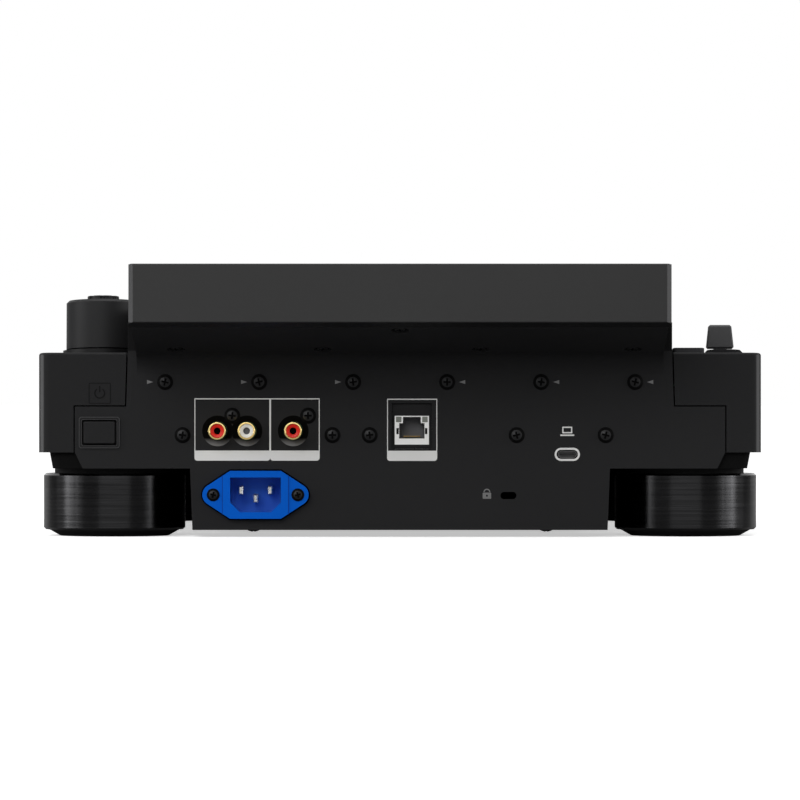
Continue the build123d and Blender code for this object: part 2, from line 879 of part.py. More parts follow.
def display_housing():
    """Wedge-shaped shell with a recess for the glass and a plug that enters the rear cover."""
    joint = screen_rear - cover_depth - cover_fit
    plug_end = screen_rear - cover_wall - cover_fit
    drop = (cover_wall + cover_fit) / cos(radians(screen_tilt))
    outer = [
        (screen_front, deck_z(screen_front)),
        (body_rear, deck_z(body_rear)),
        (body_rear, band_top_z(body_rear)),
        (joint, band_top_z(joint)),
        (joint, screen_top_z(joint)),
        (screen_front, screen_top_z(screen_front)),
    ]
    plug_start = joint - 3 * screen_wall
    lift = (cover_wall + cover_fit) / cos(radians(cove_slope))
    plug = [
        (plug_start, band_top_z(plug_start) + screen_wall),
        (joint, band_top_z(joint) + cover_fit),
        (joint, underside_z(joint) + lift),
        (plug_end, underside_z(plug_end) + lift),
        (plug_end, screen_top_z(plug_end) - drop),
        (plug_start, screen_top_z(plug_start) - drop),
    ]
    block = side_profile(outer, screen_half_width)
    block += side_profile(plug, screen_half_width - screen_wall)
    wall = screen_wall
    hollow = [
        (screen_front + wall, deck_z(screen_front) + wall),
        (body_rear, deck_z(body_rear) + wall),
        (plug_end - wall, band_top_z(plug_end) + wall),
        (plug_end - wall, screen_top_z(plug_end) - drop - wall),
        (joint - 2 * wall, screen_top_z(joint) - drop - wall),
        (joint - 3 * wall, screen_top_z(joint) - drop - wall),
        (screen_front + wall, screen_top_z(screen_front) - glass_thickness - wall),
    ]
    block -= side_profile(hollow, screen_half_width - 2 * wall)
    glass = glass_place()
    block -= glass * slab(2 * (glass_half_width + glass_fit), glass_length + 2 * glass_fit,
                          glass_corner + glass_fit, -glass_thickness, glass_thickness)
    block -= glass * box(2 * (glass_half_width - glass_ledge), glass_length - 2 * glass_ledge,
                         -glass_thickness - display_thickness, 0)
    hole = screw_shank_radius + screw_hole_fit
    for place in screen_screw_places():
        block -= place * rod(hole, -4 * screen_wall, 0)
    block -= from_rear(0, cable_slot_from_rear) * box(
        cable_slot_length, cable_slot_width, -wall, 2 * wall)
    front = block.edges().filter_by(Axis.X).sort_by(Axis.Y)[0:2].sort_by(Axis.Z)[-1]
    return fillet(front, case_top_round)


def glass_place():
    """Plane on the sloping face of the screen block, at the middle of the glass."""
    tilt = radians(screen_tilt)
    along = glass_front_margin + glass_length / 2
    origin = (0, screen_front + along * cos(tilt), screen_top_z(screen_front) + along * sin(tilt))
    return Plane(origin=origin, x_dir=(1, 0, 0), z_dir=(0, -sin(tilt), cos(tilt)))


def display_rear_cover():
    """Cap on the rear of the screen block, open to the front, with bevelled sides."""
    start = screen_rear - cover_depth
    block = side_profile([
        (start, underside_z(start)),
        (screen_rear, underside_z(screen_rear)),
        (screen_rear, screen_top_z(screen_rear)),
        (start, screen_top_z(start)),
    ], cover_half_width)
    rear_face = block.faces().sort_by(Axis.Y)[-1]
    block = chamfer(rear_face.edges().filter_by(Axis.Z), cover_bevel)
    level = block.faces().sort_by(Axis.Y)[-1].edges().filter_by(Axis.X)
    block = fillet(level, cover_edge)
    lift = cover_wall / cos(radians(cove_slope))
    drop = cover_wall / cos(radians(screen_tilt))
    inner_end = screen_rear - cover_wall
    hollow = side_profile([
        (start - cut_over, underside_z(start - cut_over) + lift),
        (inner_end, underside_z(inner_end) + lift),
        (inner_end, screen_top_z(inner_end) - drop),
        (start - cut_over, screen_top_z(start - cut_over) - drop),
    ], cover_half_width - cover_wall - cover_fit)
    return block - hollow


def display_glass():
    glass = slab(2 * glass_half_width, glass_length, glass_corner, -glass_thickness, 0)
    return glass_place() * glass


def display_panel():
    """Liquid crystal module that hangs from the underside of the glass."""
    panel = box(2 * display_half_width, display_length,
                -glass_thickness - display_thickness, -glass_thickness)
    return glass_place() * panel


# ---- Connectors ----

def inlet_body_width():
    """Width of the inlet's body behind its flange."""
    return inlet_opening_width + 2 * inlet_body_margin


def inlet_body_height():
    """Height of the inlet's body behind its flange."""
    return inlet_opening_height + 2 * inlet_body_margin


def ac_inlet():
    """Mains inlet: a lens-shaped flange with two ears, and a body with its keyed opening."""
    ears = [Pos(side * inlet_screw_spacing / 2, 0) * Circle(inlet_ear_radius) for side in (-1, 1)]
    middle = Rectangle(inlet_body_width() - 2 * inlet_body_margin, inlet_flange_height)
    outline = make_hull((Sketch() + ears + [middle]).edges())
    inlet = extrude(outline, inlet_flange_thickness)
    inlet += box(inlet_body_width(), inlet_body_height(), -inlet_body_depth, 0)
    mouth = Rectangle(inlet_opening_width, inlet_opening_height)
    corners = mouth.vertices().group_by(Axis.Y)[0]
    mouth = chamfer(corners, inlet_opening_chamfer)
    inlet -= Pos(0, 0, inlet_flange_thickness - inlet_opening_depth) * extrude(mouth, inlet_opening_depth)
    stepped = outline - Rectangle(inlet_centre_width, 2 * inlet_flange_height)
    inlet -= Pos(0, 0, inlet_flange_thickness - inlet_ear_step) * extrude(stepped, inlet_ear_step)
    for side in (-1, 1):
        inlet -= Pos(side * inlet_screw_spacing / 2, 0, 0) * rod(
            screw_shank_radius + screw_hole_fit, -cut_over, inlet_flange_thickness + cut_over)
    return facing_rear(inlet_x, inlet_z) * inlet


def ac_inlet_pins():
    """Two line pins and the ground pin, standing on the inlet's floor."""
    floor = inlet_flange_thickness - inlet_opening_depth
    pin = box(inlet_pin_width, inlet_pin_height, floor, floor + inlet_pin_length)
    pin = chamfer(pin.faces().sort_by(Axis.Z)[-1].edges(), inlet_pin_width / 4)
    spots = [(-inlet_pin_spread, inlet_pin_rise), (inlet_pin_spread, inlet_pin_rise), (0, -inlet_ground_drop)]
    return Compound([facing_rear(inlet_x, inlet_z) * Pos(x, y, 0) * pin for x, y in spots])


def rca_sleeves():
    """Plated sleeves of the three phono jacks."""
    bore = rca_sleeve_radius - rca_sleeve_wall
    sleeve = rod(rca_sleeve_radius, 0, rca_sleeve_reach)
    sleeve += rod(rca_sleeve_radius - rca_root_step, -rca_root, 0)
    sleeve -= rod(bore, -rca_root, rca_sleeve_reach)
    sleeve = chamfer(sleeve.faces().sort_by(Axis.Z)[-1].edges(), rca_sleeve_wall / 4)
    return Compound([facing_rear(x, rca_z) * sleeve for x in (*rca_red_x, rca_white_x)])


def rca_insert():
    """Coloured insulator inside a sleeve, with the hole for the plug's pin."""
    radius = rca_sleeve_radius - rca_sleeve_wall - rca_insert_fit
    end = rca_sleeve_reach - rca_insert_recess
    return rod(radius, -rca_root, end) - rod(rca_core_radius, 0, end)


def rca_red_inserts():
    return Compound([facing_rear(x, rca_z) * rca_insert() for x in rca_red_x])


def rca_white_insert():
    return facing_rear(rca_white_x, rca_z) * rca_insert()


def ethernet_jack():
    """Shielded network socket with its latch step."""
    middle = (ethernet_top + ethernet_bottom) / 2
    front = -ethernet_setback
    back = front - ethernet_depth
    jack = box(ethernet_width, ethernet_top - ethernet_bottom, back, front)
    riser = ethernet_bottom - main_board_top
    riser_middle = (ethernet_bottom + main_board_top) / 2 - middle
    jack += Pos(0, riser_middle, 0) * box(
        ethernet_width, riser, back, -panel_thickness - ethernet_setback)
    mouth_low = ethernet_mouth_bottom - middle
    mouth_middle = mouth_low + ethernet_mouth_height / 2
    mouth = Pos(0, mouth_middle) * Rectangle(ethernet_mouth_width, ethernet_mouth_height)
    step_middle = mouth_low + ethernet_mouth_height + ethernet_latch_height / 2
    mouth += Pos(0, step_middle) * Rectangle(ethernet_latch_width, ethernet_latch_height)
    jack -= Pos(0, 0, front - ethernet_mouth_depth) * extrude(mouth, ethernet_mouth_depth + cut_over)
    return facing_rear(ethernet_x, middle) * jack


def usb_c_port():
    """Computer socket: an oval shell round a thin tongue."""
    front = -usb_c_setback
    back = front - usb_c_depth
    shell = Pos(0, 0, back) * extrude(SlotOverall(usb_c_shell_width, usb_c_shell_height), usb_c_depth)
    inner_floor = back + usb_c_back_wall
    shell -= Pos(0, 0, inner_floor) * extrude(SlotOverall(usb_c_inner_width, usb_c_inner_height), usb_c_depth)
    shell += box(usb_c_tongue_width, usb_c_tongue_height, back, front - usb_c_setback)
    return facing_rear(usb_c_x, usb_c_z) * shell


def screw(head_radius, shank_length):
    """Pan-head screw that looks along +Z, with its head on the plane."""
    head = rod(head_radius, 0, screw_head_height)
    head = fillet(head.faces().sort_by(Axis.Z)[-1].edges(), screw_head_dome)
    return head + rod(screw_shank_radius, -shank_length, 0)


def case_screws():
    """Screws of the rear panel, the jacks, the inlet, the screen block's underside and the belly."""
    panel_screw = screw(screw_head_radius, screw_shank_length)
    screws = [place * panel_screw for place in rear_screw_places()]
    belly_screw = screw(screw_head_radius, belly_screw_length)
    screws += [place * belly_screw for place in belly_screw_places()]
    sunk = screw(screw_head_radius, screen_screw_length)
    screws += [place * Pos(0, 0, -screw_sink_depth) * sunk for place in screen_screw_places()]
    ear_top = inlet_flange_thickness - inlet_ear_step
    inlet_screw = screw(inlet_screw_head_radius, screw_shank_length + ear_top)
    for side in (-1, 1):
        place = facing_rear(inlet_x + side * inlet_screw_spacing / 2, inlet_z)
        screws.append(place * Pos(0, 0, ear_top) * inlet_screw)
    return Compound(screws)


def power_button():
    """Rear push button with a flange behind the panel and a stem to its switch."""
    button = slab(power_width, power_height, power_corner, -panel_thickness - power_flange_gap, power_proud)
    button = fillet(button.faces().sort_by(Axis.Z)[-1].edges(), key_round)
    flange_top = -panel_thickness - power_flange_gap
    grown = 2 * (power_gap + power_flange)
    button += slab(power_width + grown, power_height + grown, power_corner + power_gap,
                   flange_top - power_flange_thickness, flange_top)
    stem_end = -power_switch_depth + power_travel + switch_clearance
    button += rod(key_stem_radius, stem_end, flange_top - power_flange_thickness)
    return facing_rear(power_x, power_z) * button


def power_switch():
    """Latching switch behind the power button, on a post that stands on the chassis shoulder."""
    body = box(power_switch_width, power_switch_height,
               -power_switch_depth - power_switch_width, -power_switch_depth)
    switch = facing_rear(power_x, power_z) * body
    foot_z = shoulder_height + chassis_wall
    post_y = body_rear - power_switch_depth - power_switch_width / 2
    post = Pos(power_x, post_y, 0) * box(power_switch_width, standoff_radius * 2, foot_z, power_z)
    return switch + post


# ---- Boards ----

def main_board():
    """Main circuit board with its processor and the housings of the phono jacks."""
    rear = panel_inner - main_board_rear_gap
    low = main_board_top - board_thickness
    board = Pos(0, rear - main_board_length / 2, 0) * box(
        2 * main_board_half_width, main_board_length, low, main_board_top)
    board += Pos(0, rear - main_board_length / 2, 0) * box(
        processor_size, processor_size, main_board_top, main_board_top + processor_height)
    for x in (*rca_red_x, rca_white_x):
        housing = Pos(x, panel_inner - rca_housing_depth / 2, 0) * box(
            rca_housing_width, rca_housing_depth, main_board_top, rca_housing_top)
        board += housing
    for x in (*rca_red_x, rca_white_x):
        board -= facing_rear(x, rca_z) * rod(rca_sleeve_radius, -rca_root, 0)
    for x in jack_screws:
        board -= facing_rear(x, jack_screw_height) * rod(
            screw_shank_radius + screw_hole_fit, -screw_shank_length - cut_over, 0)
    return board


def power_supply():
    """Open supply board with a transformer, two capacitors and a heat sink, on the belly's floor."""
    board_low = tray_floor
    board_high = board_low + board_thickness
    supply = box(supply_width, supply_length, board_low, board_high)
    supply += Pos(supply_transformer_x, supply_transformer_y, 0) * box(
        supply_transformer_size, supply_transformer_size, board_high, board_high + supply_transformer_height)
    for side in (-1, 1):
        supply += Pos(side * supply_capacitor_x, supply_capacitor_y, 0) * rod(
            supply_capacitor_radius, board_high, board_high + supply_capacitor_height)
    edge = -supply_width / 2 + supply_heatsink_thickness
    supply += Pos(edge, supply_heatsink_y, 0) * box(
        supply_heatsink_thickness, supply_heatsink_length, board_high, board_high + supply_transformer_height)
    return Pos(supply_x, supply_y, 0) * supply


def control_board():
    """Board under the deck, cut round the jog wheel's base."""
    length = deck_length - 2 * control_board_margin
    board = from_front(0, deck_length / 2) * box(
        2 * control_board_half_width, length, board_top - board_thickness, board_top)
    board -= from_front(0, jog_from_front) * rod(
        jog_base_outer() + 2 * jog_base_fit, board_top - 2 * board_thickness, board_top + cut_over)
    return board


def key_switches():
    """One push switch under each deck key."""
    switch = box(switch_size, switch_size, board_top, board_top + switch_body_height)
    switch += rod(switch_plunger_radius, board_top + switch_body_height, switch_top)
    return Compound([key["place"] * switch for key in deck_keys()])


# ---- Keys of the deck ----

def deck_key(name, place, outline, travel=key_travel, dish=0.0):
    return {"name": name, "place": place, "outline": outline, "travel": travel, "dish": dish}


def deck_keys():
    """Every key of the deck: its name, place, outline and travel."""
    keys = []
    pad = RectangleRounded(cue_pad_width, cue_pad_length, cue_pad_corner)
    middle = (cue_pad_count + 1) / 2
    for i in range(1, cue_pad_count + 1):
        place = from_front((i - middle) * cue_pad_pitch, cue_pad_from_front)
        keys.append(deck_key(f"hot_cue_button_{i}", place, pad))
    big = Circle(big_key_radius)
    for name, distance in (("play_button", play_from_front), ("cue_button", cue_from_front)):
        place = from_front(left_column_x, distance)
        keys.append(deck_key(name, place, big, big_key_travel, big_key_dish))
    pill = SlotOverall(pill_width, pill_length)
    round_key = Circle(loop_key_radius)
    left = left_column_x - pill_pitch / 2
    right = left_column_x + pill_pitch / 2
    keys.append(deck_key("search_back_button", from_front(left, search_from_front), pill))
    keys.append(deck_key("search_forward_button", from_front(right, search_from_front), pill))
    keys.append(deck_key("track_back_button", from_front(left, track_from_front), pill))
    keys.append(deck_key("track_forward_button", from_front(right, track_from_front), pill))
    keys.append(deck_key("loop_in_button", from_front(left, loop_from_front), round_key))
    keys.append(deck_key("loop_out_button", from_front(right, loop_from_front), round_key))
    keys.append(deck_key("loop_exit_button", from_front(left, loop_exit_from_front), round_key))
    small = RectangleRounded(small_key_width, small_key_length, small_key_corner)
    near, far = small_key_x
    keys.append(deck_key("master_tempo_button", from_front(near, tempo_key_from_front), small))
    keys.append(deck_key("tempo_range_button", from_front(far, tempo_key_from_front), small))
    keys.append(deck_key("beat_sync_button", from_front(near, sync_key_from_front), small))
    keys.append(deck_key("master_button", from_front(far, sync_key_from_front), small))
    return keys


def key_cap(key):
    """Cap of a deck key: rounded top, flange under the plate and a stem down to its switch."""
    flange_top = -plate_thickness - key_flange_gap
    flange_bottom = flange_top - key_flange_thickness
    cap = Pos(0, 0, flange_top) * extrude(key["outline"], key_rise - flange_top)
    cap = fillet(cap.faces().sort_by(Axis.Z)[-1].edges(), key_round)
    if key["dish"]:
        dish_radius = (big_key_radius**2 + key["dish"] ** 2) / (2 * key["dish"])
        cap -= Pos(0, 0, key_rise + dish_radius - key["dish"]) * Sphere(dish_radius)
    cap += Pos(0, 0, flange_bottom) * extrude(offset(key["outline"], key_flange), key_flange_thickness)
    cap += rod(key_stem_radius, switch_top + key["travel"] + switch_clearance, flange_bottom)
    return key["place"] * cap


# ---- Jog wheel ----

def jog_base_outer():
    return jog_radius + jog_gap + jog_base_wall


def jog_floor():
    """Upper side of the jog base's floor, under the deck."""
    return -jog_base_depth


def jog_base():
    """Fixed dish of the jog wheel, with the rim that lies on the plate."""
    inner = jog_radius + jog_gap
    outer = jog_base_outer()
    bottom = jog_floor() - jog_base_floor
    outline = [
        (0, bottom),
        (outer, bottom),
        (outer, 0),
        (inner + jog_base_rim_width, 0),
        (inner + jog_base_rim_width - jog_base_rim_height / 2, jog_base_rim_height),
        (inner, jog_base_rim_height),
        (inner, jog_floor()),
        (0, jog_floor()),
    ]
    dish = revolve(Plane.XZ * make_face(Polyline(*outline, close=True)), Axis.Z)
    return from_front(0, jog_from_front) * dish


def jog_post():
    """Fixed post that the wheel turns on and that carries the round display."""
    foot = jog_floor() + jog_post_flange_height
    top = jog_height - jog_display_thickness
    post = rod(jog_post_flange_radius, jog_floor(), foot) + rod(jog_post_radius, foot, top)
    return from_front(0, jog_from_front) * post


def jog_display():
    """Round display at the middle of the wheel, which doesn't turn."""
    low = jog_height - jog_display_thickness
    disc = rod(jog_display_radius, low, jog_height)
    disc = fillet(disc.faces().sort_by(Axis.Z)[-1].edges(), key_round)
    return from_front(0, jog_from_front) * disc


def jog_wheel():
    """Moulded wheel: hub, web, dimpled rim and the top that carries the touch ring."""
    hub_low = jog_floor() + jog_post_flange_height + jog_floor_gap
    web_low = hub_low + jog_web_rise
    web_high = web_low + jog_web
    bore = jog_post_radius + jog_running_fit
    rim_top = jog_radius - jog_taper
    seat = jog_height - jog_ring_thickness
    opening = jog_display_radius + jog_display_gap
    ceiling = jog_height - jog_deck
    outline = [
        (bore, hub_low),
        (jog_hub_radius, hub_low),
        (jog_hub_radius, web_low),
        (jog_radius - jog_wall, web_low),
        (jog_radius, web_low + jog_wall),
        (jog_radius, jog_skirt),
        (rim_top, jog_height),
        (jog_ring_outer + jog_ring_fit, jog_height),
        (jog_ring_outer + jog_ring_fit, seat),
        (jog_ring_inner - jog_ring_fit, seat),
        (jog_ring_inner - jog_ring_fit, jog_height),
        (opening, jog_height),
        (opening, ceiling),
        (rim_top - 2 * jog_wall, ceiling),
        (jog_radius - 2 * jog_wall, jog_skirt),
        (jog_radius - 2 * jog_wall, web_high),
        (jog_hub_radius, web_high),
        (jog_hub_radius, hub_low + jog_hub_height),
        (bore, hub_low + jog_hub_height),
    ]
    wheel = revolve(Plane.XZ * make_face(Polyline(*outline, close=True)), Axis.Z)
    lean = degrees(atan2(jog_taper, jog_height - jog_skirt))
    flute_length = 2 * (jog_height - jog_skirt)
    flute = Rot(0, -lean, 0) * Cylinder(jog_dimple_radius, flute_length)
    reach = (jog_radius + rim_top) / 2 + (jog_dimple_radius - jog_dimple_sink) / cos(radians(lean))
    flute = Pos(reach, 0, (jog_height + jog_skirt) / 2) * flute
    for i in range(jog_dimples):
        wheel -= Rot(0, 0, 360 * i / jog_dimples) * flute
    return from_front(0, jog_from_front) * wheel


def jog_top_ring():
    """Touch ring on the wheel's top."""
    ring = rod(jog_ring_outer, jog_height - jog_ring_thickness, jog_height)
    ring -= rod(jog_ring_inner, jog_height - jog_ring_thickness, jog_height)
    return from_front(0, jog_from_front) * ring


# ---- Browse knob ----

def browse_encoder():
    """Encoder body with the bushing that its rotor turns in."""
    body_top = board_top + encoder_body_height
    body = box(encoder_size, encoder_size, board_top, body_top)
    body += rod(encoder_bushing_radius, body_top, -plate_thickness + encoder_bushing_reach)
    body -= rod(browse_rotor_radius + running_fit, board_top + encoder_floor, encoder_bushing_reach)
    return from_rear(browse_x, browse_from_rear) * body


def browse_shaft(grow):
    """Section of the shaft, with the flat that turns the rotor."""
    radius = browse_shaft_radius + grow
    return Circle(radius) - Pos(0, browse_shaft_flat + grow + radius) * Rectangle(2 * radius, 2 * radius)


def browse_rotor():
    """Sleeve that turns in the encoder and lets the shaft slide."""
    low = board_top + encoder_floor + running_fit
    high = -plate_thickness + encoder_bushing_reach - running_fit
    sleeve = rod(browse_rotor_radius, low, high)
    sleeve -= Pos(0, 0, low) * extrude(browse_shaft(running_fit), high - low)
    return from_rear(browse_x, browse_from_rear) * sleeve


def browse_knob():
    """Tall hollow cap with a scalloped crown, fixed to its shaft."""
    side = browse_side_height
    bottom = browse_collar_height + browse_cap_gap
    inner = browse_radius - browse_cap_wall
    ceiling = side - 2 * browse_cap_wall
    outline = [
        (inner, bottom),
        (browse_radius, bottom),
        (browse_radius, side),
        (browse_radius - browse_dome, side + browse_dome),
        (0, side + browse_dome),
        (0, ceiling),
        (inner, ceiling),
    ]
    knob = revolve(Plane.XZ * make_face(Polyline(*outline, close=True)), Axis.Z)
    knob += crown(side + browse_dome)
    shaft_low = board_top + encoder_floor + running_fit + browse_travel + switch_clearance
    knob += Pos(0, 0, shaft_low) * extrude(browse_shaft(0), ceiling - shaft_low)
    return from_rear(browse_x, browse_from_rear) * knob


def crown(low):
    """Raised scalloped disc on top of the knob."""
    disc = rod(browse_crown_radius, low, low + browse_crown_height)
    disc = fillet(disc.faces().sort_by(Axis.Z)[-1].edges(), key_round)
    for i in range(browse_crown_notches):
        notch = Pos(browse_crown_radius, 0, 0) * rod(
            browse_crown_notch_radius, low, low + 2 * browse_crown_height)
        disc -= Rot(0, 0, 360 * i / browse_crown_notches) * notch
    return disc


# ---- Direction lever ----

def lever_collar_neck_width():
    return lever_slot_width + 2 * lever_housing_wall + 2 * lever_collar_shift


def lever_collar_neck_length():
    return lever_slot_length + 2 * lever_housing_wall


def lever_switch():
    """Switch housing under the plate, its low collar on the plate and the pivot pin."""
    low = board_top
    collar = slab(lever_collar_width, lever_collar_length, lever_collar_corner, 0, lever_collar_height)
    collar = chamfer(collar.faces().sort_by(Axis.Z)[-1].edges(), lever_collar_bevel)
    housing = collar + box(lever_collar_neck_width(), lever_collar_neck_length(), low, 0)
    well = Pos(lever_collar_shift, 0, 0) * box(lever_slot_width, lever_slot_length, low + lever_housing_wall,
                                              lever_collar_height + cut_over)
    housing -= well
    pin = Pos(lever_collar_shift, 0, -lever_pivot_depth) * Rot(0, 90, 0) * Cylinder(
        lever_pin_radius, lever_slot_width + lever_housing_wall)
    return from_rear(lever_x - lever_collar_shift, lever_from_rear) * (housing + pin)


def direction_lever():
    """Tapered paddle on a neck that pivots on the housing's pin."""
    foot = lever_skirt + lever_collar_height
    blade = loft([
        Pos(0, 0, foot) * Rectangle(lever_bottom_width, lever_thickness),
        Pos(0, 0, lever_height) * Rectangle(lever_top_width, lever_top_thickness),
    ])
    blade = chamfer(blade.edges(), lever_edge)
    neck = box(lever_neck_width, lever_neck_thickness, -lever_pivot_depth, foot + lever_edge)
    hub = Pos(0, 0, -lever_pivot_depth) * Rot(0, 90, 0) * Cylinder(lever_hub_radius, lever_neck_width)
    bore = Pos(0, 0, -lever_pivot_depth) * Rot(0, 90, 0) * Cylinder(
        lever_pin_radius + running_fit, lever_neck_width + cut_over)
    return from_rear(lever_x, lever_from_rear) * (blade + neck + hub - bore)


# ---- Tempo slider and jog feel knob ----

def tempo_fader():
    """Fader body on the control board, open along its top."""
    length = 2 * tempo_travel + tempo_stem_length + 2 * tempo_slot_margin + 2 * tempo_body_margin
    top = board_top + tempo_body_height
    body = box(tempo_body_width, length, board_top, top)
    track = tempo_stem_width + 2 * tempo_stem_side_gap
    body -= box(track, length - 2 * tempo_body_margin, board_top + tempo_body_wall, top + cut_over)
    return from_front(right_column_x, tempo_from_front) * body


def tempo_slider():
    """Fader cap with a waisted grip, on the flat stem that runs in the fader."""
    low = board_top + tempo_body_wall + tempo_stem_side_gap
    stem = box(tempo_stem_width, tempo_stem_length, low, tempo_cap_gap)
    half = tempo_cap_length / 2
    grip = [
        (-half, tempo_cap_gap),
        (half, tempo_cap_gap),
        (half - tempo_cap_draft, tempo_cap_height),
        (half - tempo_cap_waist, tempo_cap_height),
        (0, tempo_cap_height - tempo_cap_waist / 2),
        (tempo_cap_waist - half, tempo_cap_height),
        (tempo_cap_draft - half, tempo_cap_height),
    ]
    cap = side_profile(grip, tempo_cap_width / 2)
    return from_front(right_column_x, tempo_from_front) * (stem + cap)


def jog_feel_pot():
    """Rotary control under the jog feel knob, with the bore its shaft turns in."""
    top = board_top + feel_pot_height
    body = box(feel_pot_size, feel_pot_size, board_top, top)
    body -= rod(feel_shaft_radius + running_fit, board_top + encoder_floor, top)
    return from_front(right_column_x, feel_from_front) * body


def jog_feel_knob():
    """Small fluted knob with its shaft."""
    cap = loft([Pos(0, 0, feel_gap) * Circle(feel_radius), Pos(0, 0, feel_height) * Circle(feel_top_radius)])
    cap = fillet(cap.faces().sort_by(Axis.Z)[-1].edges(), key_round)
    for i in range(feel_flutes):
        flute = Pos(feel_radius, 0, 0) * rod(feel_flute_radius, feel_flute_start, feel_height + cut_over)
        cap -= Rot(0, 0, 360 * i / feel_flutes) * flute
    cap += rod(feel_shaft_radius, board_top + encoder_floor + switch_clearance, feel_gap)
    return from_front(right_column_x, feel_from_front) * cap


# ---- Memory stick port ----

def port_body_width():
    return port_mouth_width + 2 * port_body_wall


def port_body_length():
    return port_mouth_length + 2 * port_body_wall


def usb_port_bezel():
    """Raised bezel and socket for a memory stick, which goes in from above."""
    bezel = slab(port_width, port_length, port_corner, 0, port_rise)
    bezel = fillet(bezel.faces().sort_by(Axis.Z)[-1].edges(), key_round)
    socket = bezel + box(port_body_width(), port_body_length(), board_top, 0)
    floor = port_rise - port_mouth_depth
    socket -= box(port_mouth_width, port_mouth_length, floor, port_rise + cut_over)
    socket += Pos(port_tongue_shift, 0, 0) * box(port_tongue_width, port_tongue_length, floor, 0)
    return from_rear(port_x, port_from_rear) * socket


def build():
    """Every sub-part by its node name."""
    parts = {
        "upper_case": upper_case(),
        "top_plate": top_plate(),
        "rear_panel": rear_panel(),
        "bottom_chassis": bottom_chassis(),
        "feet": feet(),
        "foot_pads": foot_pads(),
        "display_housing": display_housing(),
        "display_rear_cover": display_rear_cover(),
        "display_glass": display_glass(),
        "display_panel": display_panel(),
        "ac_inlet": ac_inlet(),
        "ac_inlet_pins": ac_inlet_pins(),
        "rca_sleeves": rca_sleeves(),
        "rca_red_inserts": rca_red_inserts(),
        "rca_white_insert": rca_white_insert(),
        "ethernet_jack": ethernet_jack(),
        "usb_c_port": usb_c_port(),
        "case_screws": case_screws(),
        "power_button": power_button(),
        "power_switch": power_switch(),
        "main_board": main_board(),
        "power_supply": power_supply(),
        "control_board": control_board(),
        "key_switches": key_switches(),
        "jog_base": jog_base(),
        "jog_post": jog_post(),
        "jog_display": jog_display(),
        "jog_wheel": jog_wheel(),
        "jog_top_ring": jog_top_ring(),
        "browse_encoder": browse_encoder(),
        "browse_rotor": browse_rotor(),
        "browse_knob": browse_knob(),
        "lever_switch": lever_switch(),
        "direction_lever": direction_lever(),
        "tempo_fader": tempo_fader(),
        "tempo_slider": tempo_slider(),
        "jog_feel_pot": jog_feel_pot(),
        "jog_feel_knob": jog_feel_knob(),
        "usb_port_bezel": usb_port_bezel(),
    }
    for key in deck_keys():
        parts[key["name"]] = key_cap(key)
    return parts


for node, shape in build().items():
    export_step(shape, f"parts/{node}.step")
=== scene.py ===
import json
from math import cos, pi, radians, sin

import bmesh
import bpy
from mathutils import Matrix, Vector, geometry

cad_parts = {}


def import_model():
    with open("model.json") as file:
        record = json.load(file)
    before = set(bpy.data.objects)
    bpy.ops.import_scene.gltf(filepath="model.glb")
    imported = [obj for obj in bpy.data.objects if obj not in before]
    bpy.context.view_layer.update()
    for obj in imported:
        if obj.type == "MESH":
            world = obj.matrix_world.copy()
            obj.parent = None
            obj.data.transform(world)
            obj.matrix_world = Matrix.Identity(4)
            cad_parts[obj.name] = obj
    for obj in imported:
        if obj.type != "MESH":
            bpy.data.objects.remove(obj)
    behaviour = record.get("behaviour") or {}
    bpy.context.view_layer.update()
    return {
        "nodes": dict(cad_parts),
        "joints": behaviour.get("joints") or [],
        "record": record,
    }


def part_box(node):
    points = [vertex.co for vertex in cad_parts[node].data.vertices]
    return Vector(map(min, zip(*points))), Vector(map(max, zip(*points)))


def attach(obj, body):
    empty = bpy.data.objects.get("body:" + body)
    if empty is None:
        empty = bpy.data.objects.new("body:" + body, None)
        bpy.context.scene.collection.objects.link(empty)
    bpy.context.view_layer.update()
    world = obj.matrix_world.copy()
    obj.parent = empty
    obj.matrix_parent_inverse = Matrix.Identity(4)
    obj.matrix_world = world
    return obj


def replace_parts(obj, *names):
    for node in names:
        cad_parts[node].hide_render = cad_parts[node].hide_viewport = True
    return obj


# Looks of a screen-topped tabletop DJ player. Metres, +Z up, the user at -Y, the connectors at +Y.

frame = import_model()

MM = 0.001
ROOT = "player"

# ---- Camera ----
camera_distance = 2.6
camera_height = 0.0648
camera_lens = 247.4

# ---- Studio ----
floor_size = 120.0
floor_glow = 0.52
floor_bounce = (0.3, 0.3, 0.3, 1)
floor_white = (0.98, 0.98, 0.98, 1)
card_black = (0.003, 0.003, 0.003, 1)
world_strength = 0.55
lamp_target = (0, 0.1, 0.07)
lamps = (  # name, place, width, height, power
    ("front_fill", (0.9, 2.2, 1.3), 2.0, 1.2, 27),
    ("left_softbox", (2.23, 0.63, 0.62), 0.8, 1.3, 12),
    ("right_softbox", (-2.23, 0.63, 0.62), 0.8, 1.3, 13),
    ("top_light", (0, -0.3, 2.2), 1.6, 1.6, 16),
)
strip_height = 3.0
strips = (  # name, place on the left, width, power
    ("strip", (6.04, 1.24, 1.4), 0.6, 34),
    ("rear_strip", (5.3, 2.95, 1.4), 0.42, 16),
)
card_radius = 3.0
card_height = 3.0
card_spreads = ((24, 50.5), (102, 126))

